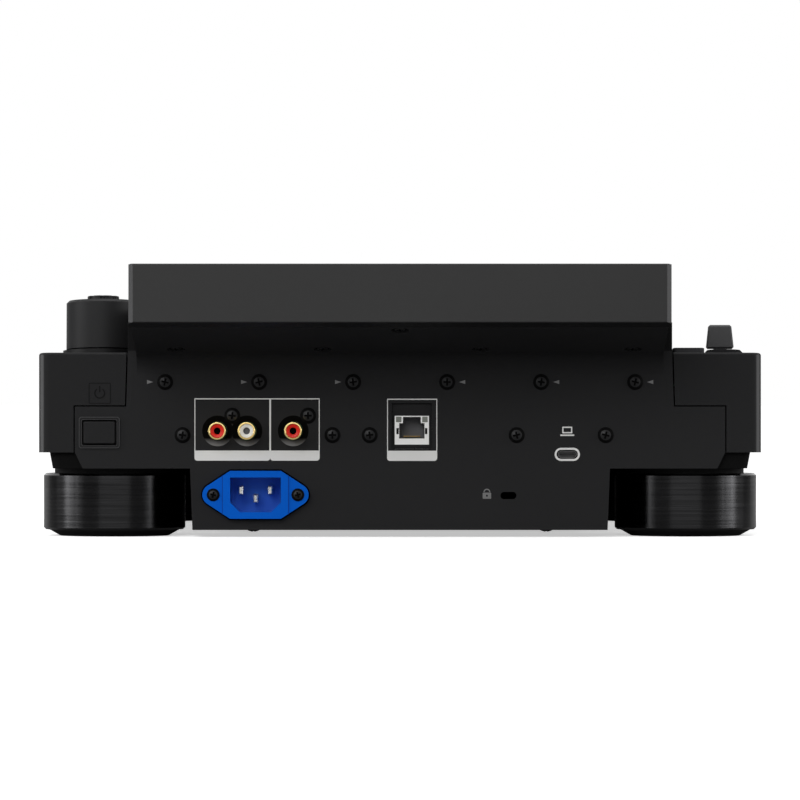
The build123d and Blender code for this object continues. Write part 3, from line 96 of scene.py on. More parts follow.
# ---- Prints on the rear panel, as world X and Z in millimetres ----
print_thickness = 0.05
print_line = 0.5
box_corner = 1.4
connector_boxes = (
    {"left": 97.2, "right": 61.4, "top": 65.6, "bar_top": 40.9, "bottom": 36.1},
    {"left": 61.4, "right": 38.0, "top": 65.6, "bar_top": 40.9, "bottom": 36.1},
    {"left": 6.1, "right": -17.6, "top": 65.4, "bar_top": 40.8, "bottom": 36.0},
)
arrow_length = 2.9
arrow_height = 1.9
arrow_from_screw = 7.1
arrow_row_height = 5.0
laptop_place = (-79.1, 50.0)
laptop_size = (6.6, 4.4)
padlock_place = (-41.1, 20.6)
padlock_size = (4.0, 5.0)
usb_ring_outer = (12.0, 6.2)
usb_ring_inner = (10.1, 4.3)
usb_shell_wall = 0.32
usb_liner_wall = 0.1
usb_tongue = (6.76, 0.76, 0.1)
usb_depth = 5.4
power_mark_place = (142.0, 68.0)
power_mark_radius = 2.6
relief_height = 0.12
power_frame = (19.2, 14.8)
power_frame_height = 0.8
power_frame_lines = ((0.0, 1.2), (0.5, 0.95), (2.3, 0.75), (2.6, 0.7))

# ---- Prints on the deck, in millimetres ----
group_margin = 3.2
thin_line = 0.3
ring_offsets = (1.5, 2.8)
symbol_height = 2.8
key_well = 0.75
pad_window_size = (5.0, 0.9, 0.4)
tick_width = 0.35
tempo_ticks = 20
tempo_tick_lengths = (4.5, 2.4)
tempo_tick_start = 12.5
tempo_sign_place = (14.0, 4.0)
tempo_lamp_offset = 19.5
feel_ticks = 10
feel_tick_lengths = (2.2, 1.4)
feel_tick_start = 10.4
lever_sign_gap = 2.6
screen_border = (4.0, 18.0)

# ---- Mains inlet, panel ends and feet ----
inlet_gap_shade = 0.7
inlet_seam_offset = 15.6
inlet_seam_width = 0.35
inlet_seam_height = 18.4
end_strip_inner = 124.5
end_strip_bottom = 88.0
case_shoulder = (29.95, 32.35)
foot_seat_inner = 22.2
foot_seat_outer = 28.3

# ---- Screws ----
screw_recess_depth = 0.8
screw_recess_width = 1.05
screw_head_height = 1.5
screw_shank_radius = 1.5
screw_turns = (-14, -7, 0, 7, 14)
cove_tilt = radians(15)

# ---- Phono jacks ----
bowl_inner = 4.65
bowl_outer = 7.25
bowl_depth = 0.8
sleeve_radius = 4.15
sleeve_bore = 3.35
sleeve_edge = 0.14
sleeve_root = -6.0
sleeve_reach = 8.5
insert_radius = 3.3
insert_hole = 1.65
insert_top = 7.9

# ---- Network socket's mouth, in world millimetres ----
mouth_bottom = 46.6
mouth_top = 53.8
mouth_width = 12.0
latch_top = 56.8
latch_width = 8.4
mouth_depth = 13.5
mouth_floor_depth = 8.0
jack_bottom = 43.7
pocket_width = 19.1
pocket_bottom = 41.65
pocket_top = 63.35


# ---- Places in the frame ----

def joint_of(name):
    """A joint of the frame by its name."""
    return next(joint for joint in frame["joints"] if joint["name"] == name)


rear_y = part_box("upper_case")[1].y
deck_normal = Vector(joint_of("jog_turn")["axis"]).normalized()
jog_centre = Vector(joint_of("jog_turn")["pos_m"])


def axes_matrix(origin, x_axis, z_axis):
    """A placing matrix from its origin, its own X and its own Z."""
    x_axis = Vector(x_axis).normalized()
    z_axis = Vector(z_axis).normalized()
    y_axis = z_axis.cross(x_axis)
    turn = Matrix((x_axis, y_axis, z_axis)).transposed().to_4x4()
    return Matrix.Translation(Vector(origin)) @ turn


deck_frame = axes_matrix(jog_centre, (1, 0, 0), deck_normal)


def on_rear(x, z, lift=0.0):
    """A place on the rear panel, with its own +Y upwards and +X to the right as seen from behind."""
    return axes_matrix((x, rear_y + lift, z), (-1, 0, 0), (0, 1, 0))


def on_deck(x, y, lift=0.0):
    """A place on the deck, counted from the wheel's centre."""
    return deck_frame @ Matrix.Translation((x, y, lift))


def points_of(node):
    """The points of a CAD node."""
    return [vertex.co for vertex in frame["nodes"][node].data.vertices]


def middle_of(points):
    """The mean of some points."""
    return sum(points, Vector()) / len(points)


def box_middle(node):
    """The middle of a CAD node's box."""
    low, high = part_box(node)
    return (low + high) / 2


def deck_points(node):
    """The points of a CAD node in the deck's own frame."""
    to_deck = deck_frame.inverted()
    return [to_deck @ point for point in points_of(node)]


def deck_box(node):
    """Lowest and highest corner of a CAD node in the deck's own frame."""
    points = deck_points(node)
    return tuple(Vector([pick(p[i] for p in points) for i in range(3)]) for pick in (min, max))


def on_top(node, lift=0.0):
    """The middle of a deck piece's top."""
    low, high = deck_box(node)
    return on_deck((low.x + high.x) / 2, (low.y + high.y) / 2, high.z + lift)


# ---- Outlines, as lists of points, in millimetres ----

def circle(radius, x=0.0, y=0.0, steps=48):
    angles = [2 * pi * i / steps for i in range(steps)]
    return [(x + radius * cos(angle), y + radius * sin(angle)) for angle in angles]


def rounded(width, height, corner, x=0.0, y=0.0, steps=6):
    """A rectangle with rounded corners; one corner radius, or four from the right top anticlockwise."""
    corners = corner if isinstance(corner, tuple) else (corner,) * 4
    points = []
    signs = ((1, 1), (-1, 1), (-1, -1), (1, -1))
    for quarter, (sx, sy) in enumerate(signs):
        radius = max(corners[quarter], 1e-7)
        middle = (x + sx * (width / 2 - radius), y + sy * (height / 2 - radius))
        for step in range(steps + 1):
            angle = pi / 2 * (quarter + step / steps)
            points.append((middle[0] + radius * cos(angle), middle[1] + radius * sin(angle)))
    return points
def pill(width, height):
    """An outline with round ends."""
    return rounded(width, height, height / 2 - 0.01)

def triangle(length, height, x=0.0, y=0.0):
    """A triangle that points along +X, or along -X when its length is negative."""
    return [(x - length / 2, y - height / 2), (x + length / 2, y), (x - length / 2, y + height / 2)]


def arc_band(inner, outer, start, end, steps=24):
    """A piece of a ring between two angles in degrees."""
    angles = [radians(start + (end - start) * i / steps) for i in range(steps + 1)]
    out = [(outer * cos(a), outer * sin(a)) for a in angles]
    back = [(inner * cos(a), inner * sin(a)) for a in reversed(angles)]
    return out + back


def swung(loop, angle):
    """A loop turned about the origin by an angle in degrees."""
    c, t = cos(radians(angle)), sin(radians(angle))
    return [(x * c - y * t, x * t + y * c) for x, y in loop]


def frame_loops(width, height, corner, line):
    """A thin rectangular outline."""
    return [rounded(width, height, corner), rounded(width - 2 * line, height - 2 * line, corner - line)]


def grown(outline, step):
    """An outline round the origin without hollows, with its edges moved outwards by a step."""
    loop = []
    for i, point in enumerate(outline):
        edges = (point - outline[i - 1], outline[(i + 1) % len(outline)] - point)
        ways = [Vector((edge.y, -edge.x)).normalized() for edge in edges]
        ways = [way if way.dot(point) > 0 else -way for way in ways]
        middle = (ways[0] + ways[1]).normalized()
        loop.append(tuple(point + middle * (step / middle.dot(ways[0]))))
    return loop


def ring_band(radius, line, steps):
    """A full ring with its line inside a radius."""
    return [circle(radius, steps=steps), circle(radius - line, steps=steps)]


# ---- Mesh builders ----

def link(piece, material, body=ROOT):
    """Puts a finished piece into the scene, on its body and with its material."""
    if piece.name not in bpy.context.scene.collection.objects:
        bpy.context.scene.collection.objects.link(piece)
    piece.data.materials.append(material)
    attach(piece, body)
    return piece


def finished_mesh(name, builder):
    """A mesh from its finished bmesh."""
    mesh = bpy.data.meshes.new(name)
    builder.to_mesh(mesh)
    builder.free()
    return mesh


def mesh_object(name, builder):
    """An object from its finished bmesh."""
    return bpy.data.objects.new(name, finished_mesh(name, builder))


def plate_mesh(loops, thickness, bevel):
    """A flat plate from closed outlines in millimetres; an outline inside another is a hole."""
    curve = bpy.data.curves.new("outline", "CURVE")
    curve.dimensions = "2D"
    curve.fill_mode = "BOTH"
    curve.extrude = thickness * MM / 2
    curve.bevel_depth = bevel * MM
    curve.bevel_resolution = 1
    curve.offset = -bevel * MM
    for loop in loops:
        spline = curve.splines.new("POLY")
        spline.points.add(len(loop) - 1)
        for point, (x, y) in zip(spline.points, loop):
            point.co = (x * MM, y * MM, 0, 1)
        spline.use_cyclic_u = True
    holder = bpy.data.objects.new("outline", curve)
    mesh = bpy.data.meshes.new_from_object(holder)
    mesh.transform(Matrix.Translation((0, 0, thickness * MM / 2)))
    bpy.data.objects.remove(holder)
    bpy.data.curves.remove(curve)
    return mesh


def plates(name, groups, thickness, material, body=ROOT, bevel=0.0):
    """One piece made of flat plates: each group is a placing matrix and its outlines."""
    builder = bmesh.new()
    for place, loops in groups:
        mesh = plate_mesh(loops, thickness, bevel)
        mesh.transform(place)
        builder.from_mesh(mesh)
        bpy.data.meshes.remove(mesh)
    bmesh.ops.remove_doubles(builder, verts=builder.verts, dist=1e-7)
    return link(mesh_object(name, builder), material, body)


def turned_builder(profile, segments):
    """A turned form from its (radius, height) profile in metres, closed on the axis at radius 0."""
    builder = bmesh.new()
    rings = []
    for radius, height in profile:
        spots = [(0, 0)] if radius == 0 else circle(radius, steps=segments)
        rings.append([builder.verts.new((x, y, height)) for x, y in spots])
    for lower, upper in zip(rings, rings[1:]):
        for i in range(segments):
            j = (i + 1) % segments
            corners = [ring[k % len(ring)] for ring, k in ((lower, i), (lower, j), (upper, j), (upper, i))]
            builder.faces.new(list(dict.fromkeys(corners)))
    bmesh.ops.recalc_face_normals(builder, faces=builder.faces)
    return builder


def turned_mesh(profile):
    """A turned form's mesh from its profile in millimetres, with its seams closed."""
    builder = turned_builder([(radius * MM, height * MM) for radius, height in profile], 64)
    bmesh.ops.remove_doubles(builder, verts=builder.verts, dist=1e-7)
    bmesh.ops.recalc_face_normals(builder, faces=builder.faces)
    return finished_mesh("turned", builder)


def cut_with(target, cutter):
    """The target with the cutter taken away."""
    for piece in (target, cutter):
        bpy.context.scene.collection.objects.link(piece)
    modifier = target.modifiers.new("cut", "BOOLEAN")
    modifier.operation = "DIFFERENCE"
    modifier.object = cutter
    modifier.solver = "EXACT"
    graph = bpy.context.evaluated_depsgraph_get()
    mesh = bpy.data.meshes.new_from_object(target.evaluated_get(graph))
    name = target.name
    for piece in (target, cutter):
        bpy.data.objects.remove(piece)
    return bpy.data.objects.new(name, mesh)


def copies(name, mesh, places, material):
    """One piece made of many copies of a mesh."""
    builder = bmesh.new()
    for place in places:
        copy = mesh.copy()
        copy.transform(place)
        builder.from_mesh(copy)
        bpy.data.meshes.remove(copy)
    return link(mesh_object(name, builder), material)


def smooth(piece, angle=35):
    """Shades a piece smoothly, except at edges sharper than the angle."""
    mesh = piece.data
    mesh.shade_smooth()
    mesh.set_sharp_from_angle(angle=radians(angle))
    return piece


# ---- Shader effects that several finishes share ----

def tone(red, green, blue):
    """A colour from its screen values of 0 to 255."""
    def linear(value):
        value /= 255
        return value / 12.92 if value <= 0.04045 else ((value + 0.055) / 1.055) ** 2.4
    return (linear(red), linear(green), linear(blue), 1.0)


def fill(tree, node, inputs):
    """Gives inputs of a node their plain values, or links them to the sockets given for them."""
    for label, value in inputs.items():
        if isinstance(value, bpy.types.NodeSocket):
            tree.links.new(value, node.inputs[label])
        else:
            node.inputs[label].default_value = value


def add(tree, kind, inputs=None, **settings):
    """A shader node with its settings, then its inputs."""
    node = tree.nodes.new("ShaderNode" + kind)
    for label, value in settings.items():
        setattr(node, label, value)
    fill(tree, node, inputs or {})
    return node


def reckoned(tree, operation, *inputs):
    """A sum on values."""
    return add(tree, "Math", dict(enumerate(inputs)), operation=operation).outputs["Value"]


def vector_reckoned(tree, operation, *inputs, output="Vector"):
    """A sum on vectors."""
    return add(tree, "VectorMath", dict(enumerate(inputs)), operation=operation).outputs[output]


def mixed(tree, factor, first, second):
    """A blend of two colours."""
    inputs = {"Factor": factor, "A": first, "B": second}
    return add(tree, "Mix", inputs, data_type="RGBA").outputs["Result"]


def noise(tree, vector, scale, detail):
    """Noise read at a vector socket."""
    inputs = {"Vector": vector, "Scale": scale, "Detail": detail}
    return add(tree, "TexNoise", inputs).outputs["Fac"]


def object_place(tree):
    """The place of the shaded point."""
    return add(tree, "TexCoord").outputs["Object"]


def new_group(name, inputs, outputs):
    """A node group, the sockets it is given and its result node. Its inputs have defaults."""
    group = bpy.data.node_groups.new(name, "ShaderNodeTree")
    for label, default in inputs.items():
        kind = "NodeSocketVector" if isinstance(default, tuple) else "NodeSocketFloat"
        socket = group.interface.new_socket(label, in_out="INPUT", socket_type=kind)
        socket.default_value = default
    for label in outputs:
        group.interface.new_socket(label, in_out="OUTPUT", socket_type="NodeSocketFloat")
    given = group.nodes.new("NodeGroupInput").outputs
    return group, given, group.nodes.new("NodeGroupOutput")


def moulded_grain_group():
    """Fine pebbled grain with broad patches of touch marks."""
    group, given, result = new_group(
        "moulded_grain", {"Grain Scale": 1600.0, "Patch Scale": 14.0}, ("Height", "Patches"))
    place = object_place(group)
    fill(group, result, {
        "Height": noise(group, place, given["Grain Scale"], 3.0),
        "Patches": noise(group, place, given["Patch Scale"], 4.0),
    })
    return group


def brushed_group():
    """Long brushed lines: the stretch is high across the lines and low along them."""
    group, given, result = new_group(
        "brushed_lines", {"Stretch": (1, 1, 60), "Scale": 60.0}, ("Height", "Patches"))
    stretched = vector_reckoned(group, "MULTIPLY", object_place(group), given["Stretch"])
    lines = noise(group, stretched, given["Scale"], 5.0)
    fill(group, result, {"Height": lines, "Patches": lines})
    return group


def spun_group():
    """Fine rings round an axis, as a lathe leaves them."""
    group, given, result = new_group(
        "spun_rings",
        {"Centre": tuple(jog_centre), "Axis": tuple(deck_normal), "Scale": 2200.0},
        ("Height", "Patches"))
    offset = vector_reckoned(group, "SUBTRACT", object_place(group), given["Centre"])
    across = vector_reckoned(group, "CROSS_PRODUCT", offset, given["Axis"])
    radius = vector_reckoned(group, "LENGTH", across, output="Value")
    inputs = {"W": radius, "Scale": given["Scale"], "Detail": 4.0}
    rings = add(group, "TexNoise", inputs, noise_dimensions="1D").outputs["Fac"]
    fill(group, result, {"Height": rings, "Patches": rings})
    return group


def mask_group(name, source, reading):
    """A mask that rises from 0 to 1 as what is read of the shaded point goes between two values."""
    group, given, result = new_group(name, {"From": 0.0, "To": 1.0}, ("Mask",))
    point = add(group, "TexCoord").outputs[source]
    value = reading(group, add(group, "SeparateXYZ", {"Vector": point}).outputs)
    spread = add(group, "MapRange", {"Value": value, "From Min": given["From"], "From Max": given["To"]})
    fill(group, result, {"Mask": spread.outputs["Result"]})
    return group


def upright_edge(tree, normal):
    """High on rounded upright edges, where a face turns from the rear or the front to a side."""
    return reckoned(tree, "ABSOLUTE", reckoned(tree, "MULTIPLY", normal["X"], normal["Y"]))


effects = {
    "moulded": moulded_grain_group(),
    "brushed": brushed_group(),
    "spun": spun_group(),
    "height": mask_group("height_mask", "Object", lambda tree, place: place["Z"]),
    "depth": mask_group("depth_mask", "Object", lambda tree, place: place["Y"]),
    "edges": mask_group("upright_edges", "Normal", upright_edge),
}


# ---- Finishes ----

fine_grain = {"Grain Scale": 2400.0}
rubber_grain = {"Grain Scale": 1200.0}
board_grain = {"Grain Scale": 300.0}
glass_grain = {"Grain Scale": 40.0}


def principled(name, inputs):
    """A material, its node tree and its shader."""
    material = bpy.data.materials.new(name)
    material.use_nodes = True
    tree = material.node_tree
    shader = tree.nodes["Principled BSDF"]
    fill(tree, shader, inputs)
    return material, tree, shader


def finish_of(name, colour, roughness, effect="moulded", settings=None, shade=0.12, rough_change=0.06,
              bump=0.02, metallic=0.0, specular=0.3, coat=0.0):
    """A Principled finish whose colour, roughness and bump vary with a shared effect."""
    material, tree, shader = principled(name, {
        "Metallic": metallic, "Specular IOR Level": specular, "Coat Weight": coat, "Coat Roughness": 0.08})
    pattern = add(tree, "Group", settings, node_tree=effects[effect]).outputs
    dark, light = (
        (*(channel * share for channel in tone(*colour)[:3]), 1)
        for share in (1 - shade, 1 + shade))
    rough = add(tree, "MapRange", {
        "Value": pattern["Patches"], "From Min": 0.3, "From Max": 0.7,
        "To Min": roughness - rough_change, "To Max": roughness + rough_change})
    relief = add(tree, "Bump", {"Strength": 0.6, "Distance": bump * MM, "Height": pattern["Height"]})
    fill(tree, shader, {
        "Base Color": mixed(tree, pattern["Patches"], dark, light),
        "Roughness": rough.outputs["Result"],
        "Normal": relief.outputs["Normal"],
    })
    return material


def lit_finish(name, colour):
    """Translucent plastic over a lamp: a soft own light with a satin surface."""
    material = finish_of(name, colour, 0.4)
    tree = material.node_tree
    inputs = {"Emission Color": tone(*colour), "Emission Strength": 0.35}
    fill(tree, tree.nodes["Principled BSDF"], inputs)
    return material


finishes = {
    "case": finish_of("case_plastic", (30, 30, 31), 0.62, specular=0.14),
    "panel": finish_of("panel_coat", (33, 33, 34), 0.66, settings=fine_grain, specular=0.13),
    "chassis": finish_of("chassis_coat", (10, 10, 10), 0.66, settings=fine_grain, specular=0.06),
    "cover": finish_of("cover_coat", (48, 48, 48), 0.5, settings={"Grain Scale": 3000.0}, specular=0.22),
    "plate": finish_of("deck_plate", (33, 33, 35), 0.45, settings={"Grain Scale": 2600.0}, specular=0.15),
    "foot": finish_of("brushed_foot", (56, 56, 57), 0.18, effect="brushed", rough_change=0.05, shade=0.6,
                      settings={"Stretch": (0.5, 0.5, 40.0), "Scale": 34.0}, metallic=1.0, bump=0.012),
    "pad": finish_of("foot_rubber", (28, 28, 28), 0.75, specular=0.15),
    "glass": finish_of("black_glass", (9, 9, 10), 0.12, settings=glass_grain, bump=0.0,
                       rough_change=0.02, specular=0.22),
    "lcd": finish_of("display_module", (60, 62, 66), 0.4),
    "inlet": finish_of("inlet_blue", (1, 92, 202), 0.5, specular=0.05),
    "pins": finish_of("plated_pins", (205, 205, 200), 0.28, effect="brushed", metallic=1.0, bump=0.01),
    "gold": finish_of("gold_plate", (255, 226, 152), 0.16, metallic=1.0, bump=0.0, shade=0.05),
    "red": finish_of("phono_red", (220, 34, 16), 0.36, bump=0.004),
    "white": finish_of("phono_white", (240, 238, 230), 0.4),
    "shield": finish_of("socket_shield", (238, 238, 236), 0.35, effect="brushed", metallic=0.4, bump=0.01,
                        shade=0.04),
    "screw": finish_of("black_screw", (36, 36, 37), 0.42, metallic=0.4, bump=0.002),
    "switch": finish_of("switch_plastic", (26, 26, 27), 0.85, rough_change=0.03, specular=0.03),
    "encoder": finish_of("turned_steel", (170, 170, 168), 0.3, effect="brushed", metallic=1.0, bump=0.01),
    "board": finish_of("board_green", (16, 72, 40), 0.45, settings=board_grain),
    "supply": finish_of("supply_board", (120, 98, 52), 0.55, settings=board_grain),
    "jog_post": finish_of("jog_post_steel", (150, 150, 150), 0.3, effect="spun", metallic=1.0, bump=0.01),
    "jog_base": finish_of("jog_base_satin", (66, 66, 67), 0.35, effect="spun", metallic=0.8, bump=0.01),
    "jog_rim": finish_of("jog_rim_satin", (38, 38, 40), 0.35, specular=0.35),
    "jog_top": finish_of("jog_top_spun", (70, 70, 71), 0.3, effect="spun", metallic=0.9, bump=0.012),
    "knob": finish_of("knob_satin", (29, 29, 30), 0.5, specular=0.18),
    "lever": finish_of("lever_satin", (60, 60, 61), 0.42, specular=0.2),
    "slider": finish_of("slider_satin", (44, 44, 46), 0.45, specular=0.3),
    "port": finish_of("port_grey", (64, 64, 66), 0.8, rough_change=0.03, specular=0.06),
    "cue_pad": finish_of("pad_rubber", (96, 97, 98), 0.62, settings=rubber_grain),
    "big_key": finish_of("big_key_satin", (66, 66, 68), 0.32, specular=0.35),
    "key": finish_of("key_rubber", (84, 84, 87), 0.6, settings=rubber_grain),
    "button": finish_of("power_button_plastic", (30, 30, 31), 0.6, specular=0.14),
}
print_white, print_grey, print_dark = (
    finish_of(name, colour, 0.6, bump=0.005, specular=0.2)
    for name, colour in (("white_print", (222, 222, 220)), ("grey_print", (118, 118, 118)),
                         ("dark_print", (78, 78, 80))))
contact_gold = finish_of("contact_gold", (214, 172, 88), 0.25, effect="brushed", metallic=1.0, bump=0.0)
display_mark = finish_of("display_mark", (96, 98, 102), 0.5, bump=0.0)
pad_window = finish_of("pad_window", (150, 154, 158), 0.35, specular=0.4, bump=0.0)
screen_off = finish_of("screen_off", (23, 24, 28), 0.16, settings=glass_grain, bump=0.0,
                       rough_change=0.02, specular=0.22)
lamp_window = finish_of("lamp_window", (120, 124, 116), 0.3, specular=0.4, coat=0.5)
# Black plastic of the sockets; also laid on the panel's ends as painted shade.
black_plastic_and_shade = finish_of("black_plastic_and_shade", (12, 12, 13), 0.6, specular=0.1)
socket_grey = finish_of("socket_grey", (46, 46, 47), 0.6, specular=0.1)
# Light grey, a painted highlight on the bowls' lower part.
bowl_lit_and_shaded = finish_of("bowl_lit_and_shaded", (122, 122, 123), 0.7, specular=0.04, bump=0.0)
phono_contact = finish_of("phono_contact", (92, 92, 94), 0.5, effect="brushed", metallic=0.6, bump=0.0)
# Painted light: light grey for the floor deep in the network socket, to make up for the shade in its mouth.
lit_socket_floor = finish_of("lit_socket_floor", (108, 108, 110), 0.7, specular=0.06)
inlet_line = finish_of("inlet_line", (2, 62, 150), 0.5, specular=0.1, bump=0.0)
socket_shell = finish_of("socket_shell", (112, 112, 112), 0.35, effect="brushed", metallic=1.0, bump=0.0)
power_mark = finish_of("power_mark", (20, 20, 21), 0.7, specular=0.08)
# Painted highlight for the edge of the power button's frame.
frame_highlight_grey = finish_of("painted_frame_highlight", (66, 66, 67), 0.5, specular=0.3, bump=0.0)
# Near black, painted shade on the screw heads' rims and in their cross recesses.
screw_rim_shade = finish_of("screw_rim_shade", (9, 9, 9), 0.7, specular=0.05)
gap_shade_black = finish_of("gap_shade_black", (4, 4, 4), 0.8, specular=0.0, bump=0.0)
green_ring = lit_finish("green_ring", (36, 170, 74))
amber_ring = lit_finish("amber_ring", (224, 132, 30))


def mask_of(tree, effect, start, end):
    """The mask of an effect, which rises from its start to its end."""
    return add(tree, "Group", {"From": start, "To": end}, node_tree=effects[effect]).outputs["Mask"]


def blend_over(material, effect, start, end, colour):
    """Blends a finish towards another colour where the mask of an effect rises."""
    tree = material.node_tree
    shader = tree.nodes["Principled BSDF"]
    under = shader.inputs["Base Color"].links[0].from_socket
    mask = mask_of(tree, effect, start, end)
    fill(tree, shader, {"Base Color": mixed(tree, mask, under, tone(*colour))})


def dull_shaded_above(material, low, high):
    """Ends the metal between two heights and keeps the specular low above them, so that the foot's neck there
    stays dark as painted shade under the case.
    """
    tree = material.node_tree
    inputs = {"Metallic": mask_of(tree, "height", high, low), "Specular IOR Level": 0.02}
    fill(tree, tree.nodes["Principled BSDF"], inputs)


edge_highlight_turn = (0.4, 0.49)
foot_neck_shade_heights = (29.6 * MM, 30.2 * MM)
cover_underside_shade = (100.75 * MM, 100.6 * MM)
collar_shade_heights = (86.9 * MM, 87.4 * MM)
inlet_depth_light = (rear_y + 0.5 * MM, rear_y - 1.0 * MM)
bowl_shade_heights = (43.6 * MM, 46.8 * MM)
# Painted shade: the foot's neck above its metal is coloured near black, where the shade under the case falls.
blend_over(finishes["foot"], "height", *foot_neck_shade_heights, (6, 6, 6))
dull_shaded_above(finishes["foot"], *foot_neck_shade_heights)
# Painted highlight: the cover's rounded upright edges and bevels are coloured lighter, as a side light
# catches them.
blend_over(finishes["cover"], "edges", *edge_highlight_turn, (72, 72, 73))
# Painted shade: the cover's underside is coloured darker, where the shade under the screen's block falls.
blend_over(finishes["cover"], "height", *cover_underside_shade, (17, 17, 18))
# Painted highlight: the case's rounded upright edges are coloured lighter, as a side light catches them.
blend_over(finishes["case"], "edges", *edge_highlight_turn, (88, 88, 89))
# Painted shade: the deck plate above these heights, round the lever's collar under the screen's block, is
# coloured darker.
blend_over(finishes["plate"], "height", *collar_shade_heights, (19, 19, 20))
# Painted light: the inside of the mains inlet, behind the panel's face, is coloured lighter to make up for
# the shade in it.
blend_over(finishes["inlet"], "depth", *inlet_depth_light, (64, 118, 222))
# Painted shade: the bowls' upper part is coloured near black.
blend_over(bowl_lit_and_shaded, "height", *bowl_shade_heights, (5, 5, 5))


def dress_frame():
    """Gives every CAD node the finish of its slot in the record."""
    own_finishes = {"usb_c_port": socket_shell}
    for row in frame["record"]["subparts"]:
        node = frame["nodes"][row["node"]]
        node.data.materials.clear()
        node.data.materials.append(own_finishes.get(row["node"], finishes[row["material_slot"]]))


# ---- Screws ----

def bar_cutter(radius, height, turn):
    """A tapered bar across a screw head, for one arm of its cross."""
    builder = bmesh.new()
    levels = ((height - screw_recess_depth * MM, 0.42 * radius, 0.7), (height + 0.1 * MM, 0.5 * radius, 1.0))
    corners = []
    for level, reach, taper in levels:
        half = screw_recess_width * MM * taper / 2
        for x, y in ((-reach, -half), (reach, -half), (reach, half), (-reach, half)):
            corners.append(builder.verts.new(Matrix.Rotation(turn, 4, "Z") @ Vector((x, y, level))))
    builder.faces.new(corners[:4])
    builder.faces.new(corners[4:])
    for i in range(4):
        j = (i + 1) % 4
        builder.faces.new((corners[i], corners[j], corners[j + 4], corners[i + 4]))
    bmesh.ops.recalc_face_normals(builder, faces=builder.faces)
    return mesh_object("bar", builder)


def cross_head_mesh(radius, height):
    """A screw head with a steep rim, a shallow dome and a cross recess, standing on its plane."""
    rim = 0.66 * radius
    shoulder = 0.62 * height
    profile = [(0, 0), (radius, 0), (radius, 0.18 * height), (0.97 * radius, 0.26 * height), (rim, shoulder)]
    steps = 4
    for step in range(1, steps + 1):
        share = 1 - step / (steps + 1)
        profile.append((rim * share, shoulder + (height - shoulder) * (1 - share * share)))
    profile.append((0, height))
    head = mesh_object("head", turned_builder(profile, 40))
    for turn in (0, pi / 2):
        head = cut_with(head, bar_cutter(radius, height, turn))
    mesh = head.data
    # Faces in the cross recess and on the outer rim take the second material, a near-black painted shade.
    for polygon in mesh.polygons:
        share = min(polygon.center.xy.length / rim, 1.0)
        dome = shoulder + (height - shoulder) * (1 - share * share)
        if polygon.center.z < dome - 0.08 * MM or polygon.center.xy.length > 0.9 * rim:
            polygon.material_index = 1
    return mesh


def islands(node):
    """The separate solids of a CAD node, each as a list of its points."""
    mesh = frame["nodes"][node].data
    spots = {}
    for vertex in mesh.vertices:
        key = tuple(round(c, 6) for c in vertex.co)
        spots.setdefault(key, []).append(vertex.index)
    parent = list(range(len(mesh.vertices)))

    def root(index):
        while parent[index] != index:
            parent[index] = parent[parent[index]]
            index = parent[index]
        return index

    for same in spots.values():
        for index in same[1:]:
            parent[root(index)] = root(same[0])
    for edge in mesh.edges:
        parent[root(edge.vertices[0])] = root(edge.vertices[1])
    groups = {}
    for vertex in mesh.vertices:
        groups.setdefault(root(vertex.index), []).append(vertex.co.copy())
    return list(groups.values())


def screw_axis(points):
    """The way a screw looks out: to the rear, down and to the rear under the screen, or down."""
    nearest = min(p.y for p in points)
    furthest = max(p.y for p in points)
    if nearest < rear_y < furthest:
        return Vector((0, 1, 0))
    if nearest > rear_y:
        return Vector((0, sin(cove_tilt), -cos(cove_tilt)))
    return Vector((0, 0, -1))


def shank_mesh(length):
    """A plain shank that runs down from its plane."""
    radius = screw_shank_radius * MM
    return finished_mesh("shank", turned_builder([(0, -length), (radius, -length), (radius, 0), (0, 0)], 16))


def case_screw_heads():
    """Every screw of the case, with a cross recess in its head."""
    heads = bmesh.new()
    height = screw_head_height * MM
    for index, points in enumerate(islands("case_screws")):
        axis = screw_axis(points)
        top = max(p.dot(axis) for p in points)
        bottom = min(p.dot(axis) for p in points)
        middle = middle_of(points)
        centre = middle - axis * middle.dot(axis)
        radius = max((p - axis * p.dot(axis) - centre).length for p in points)
        place = axes_matrix(centre + axis * (top - height), (1, 0, 0), axis)
        turn = Matrix.Rotation(radians(screw_turns[index % len(screw_turns)]), 4, "Z")
        for mesh in (cross_head_mesh(radius, height), shank_mesh(top - bottom - height)):
            mesh.transform(place @ turn)
            heads.from_mesh(mesh)
            bpy.data.meshes.remove(mesh)
    piece = link(mesh_object("cross_head_screws", heads), finishes["screw"])
    # The second material paints shade on the heads' rims and in their recesses.
    piece.data.materials.append(screw_rim_shade)
    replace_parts(piece, "case_screws")
    smooth(piece, 40)


# ---- Prints on the rear panel ----

def printed(name, groups, material=print_white, body=ROOT):
    """Prints of the usual thickness."""
    plates(name, groups, print_thickness, material, body)


def rear_spot(place):
    """A place on the rear panel from its X and Z in millimetres."""
    return on_rear(place[0] * MM, place[1] * MM)


def framed_box(box):
    """Outline of a connector field with a solid bar along its lower edge."""
    width = box["left"] - box["right"]
    height = box["top"] - box["bottom"]
    bar = box["bar_top"] - box["bottom"]
    outer = rounded(width, height, (0.2, 0.2, box_corner, box_corner))
    opening = rounded(width - 1.6 * print_line, height - bar - print_line, 0.1, 0, (bar - print_line) / 2)
    place = rear_spot(((box["left"] + box["right"]) / 2, (box["top"] + box["bottom"]) / 2))
    return place, [outer, opening]


def connector_prints():
    """White outlines and bars round the phono jacks and the network socket."""
    printed("connector_outlines", [framed_box(box) for box in connector_boxes])


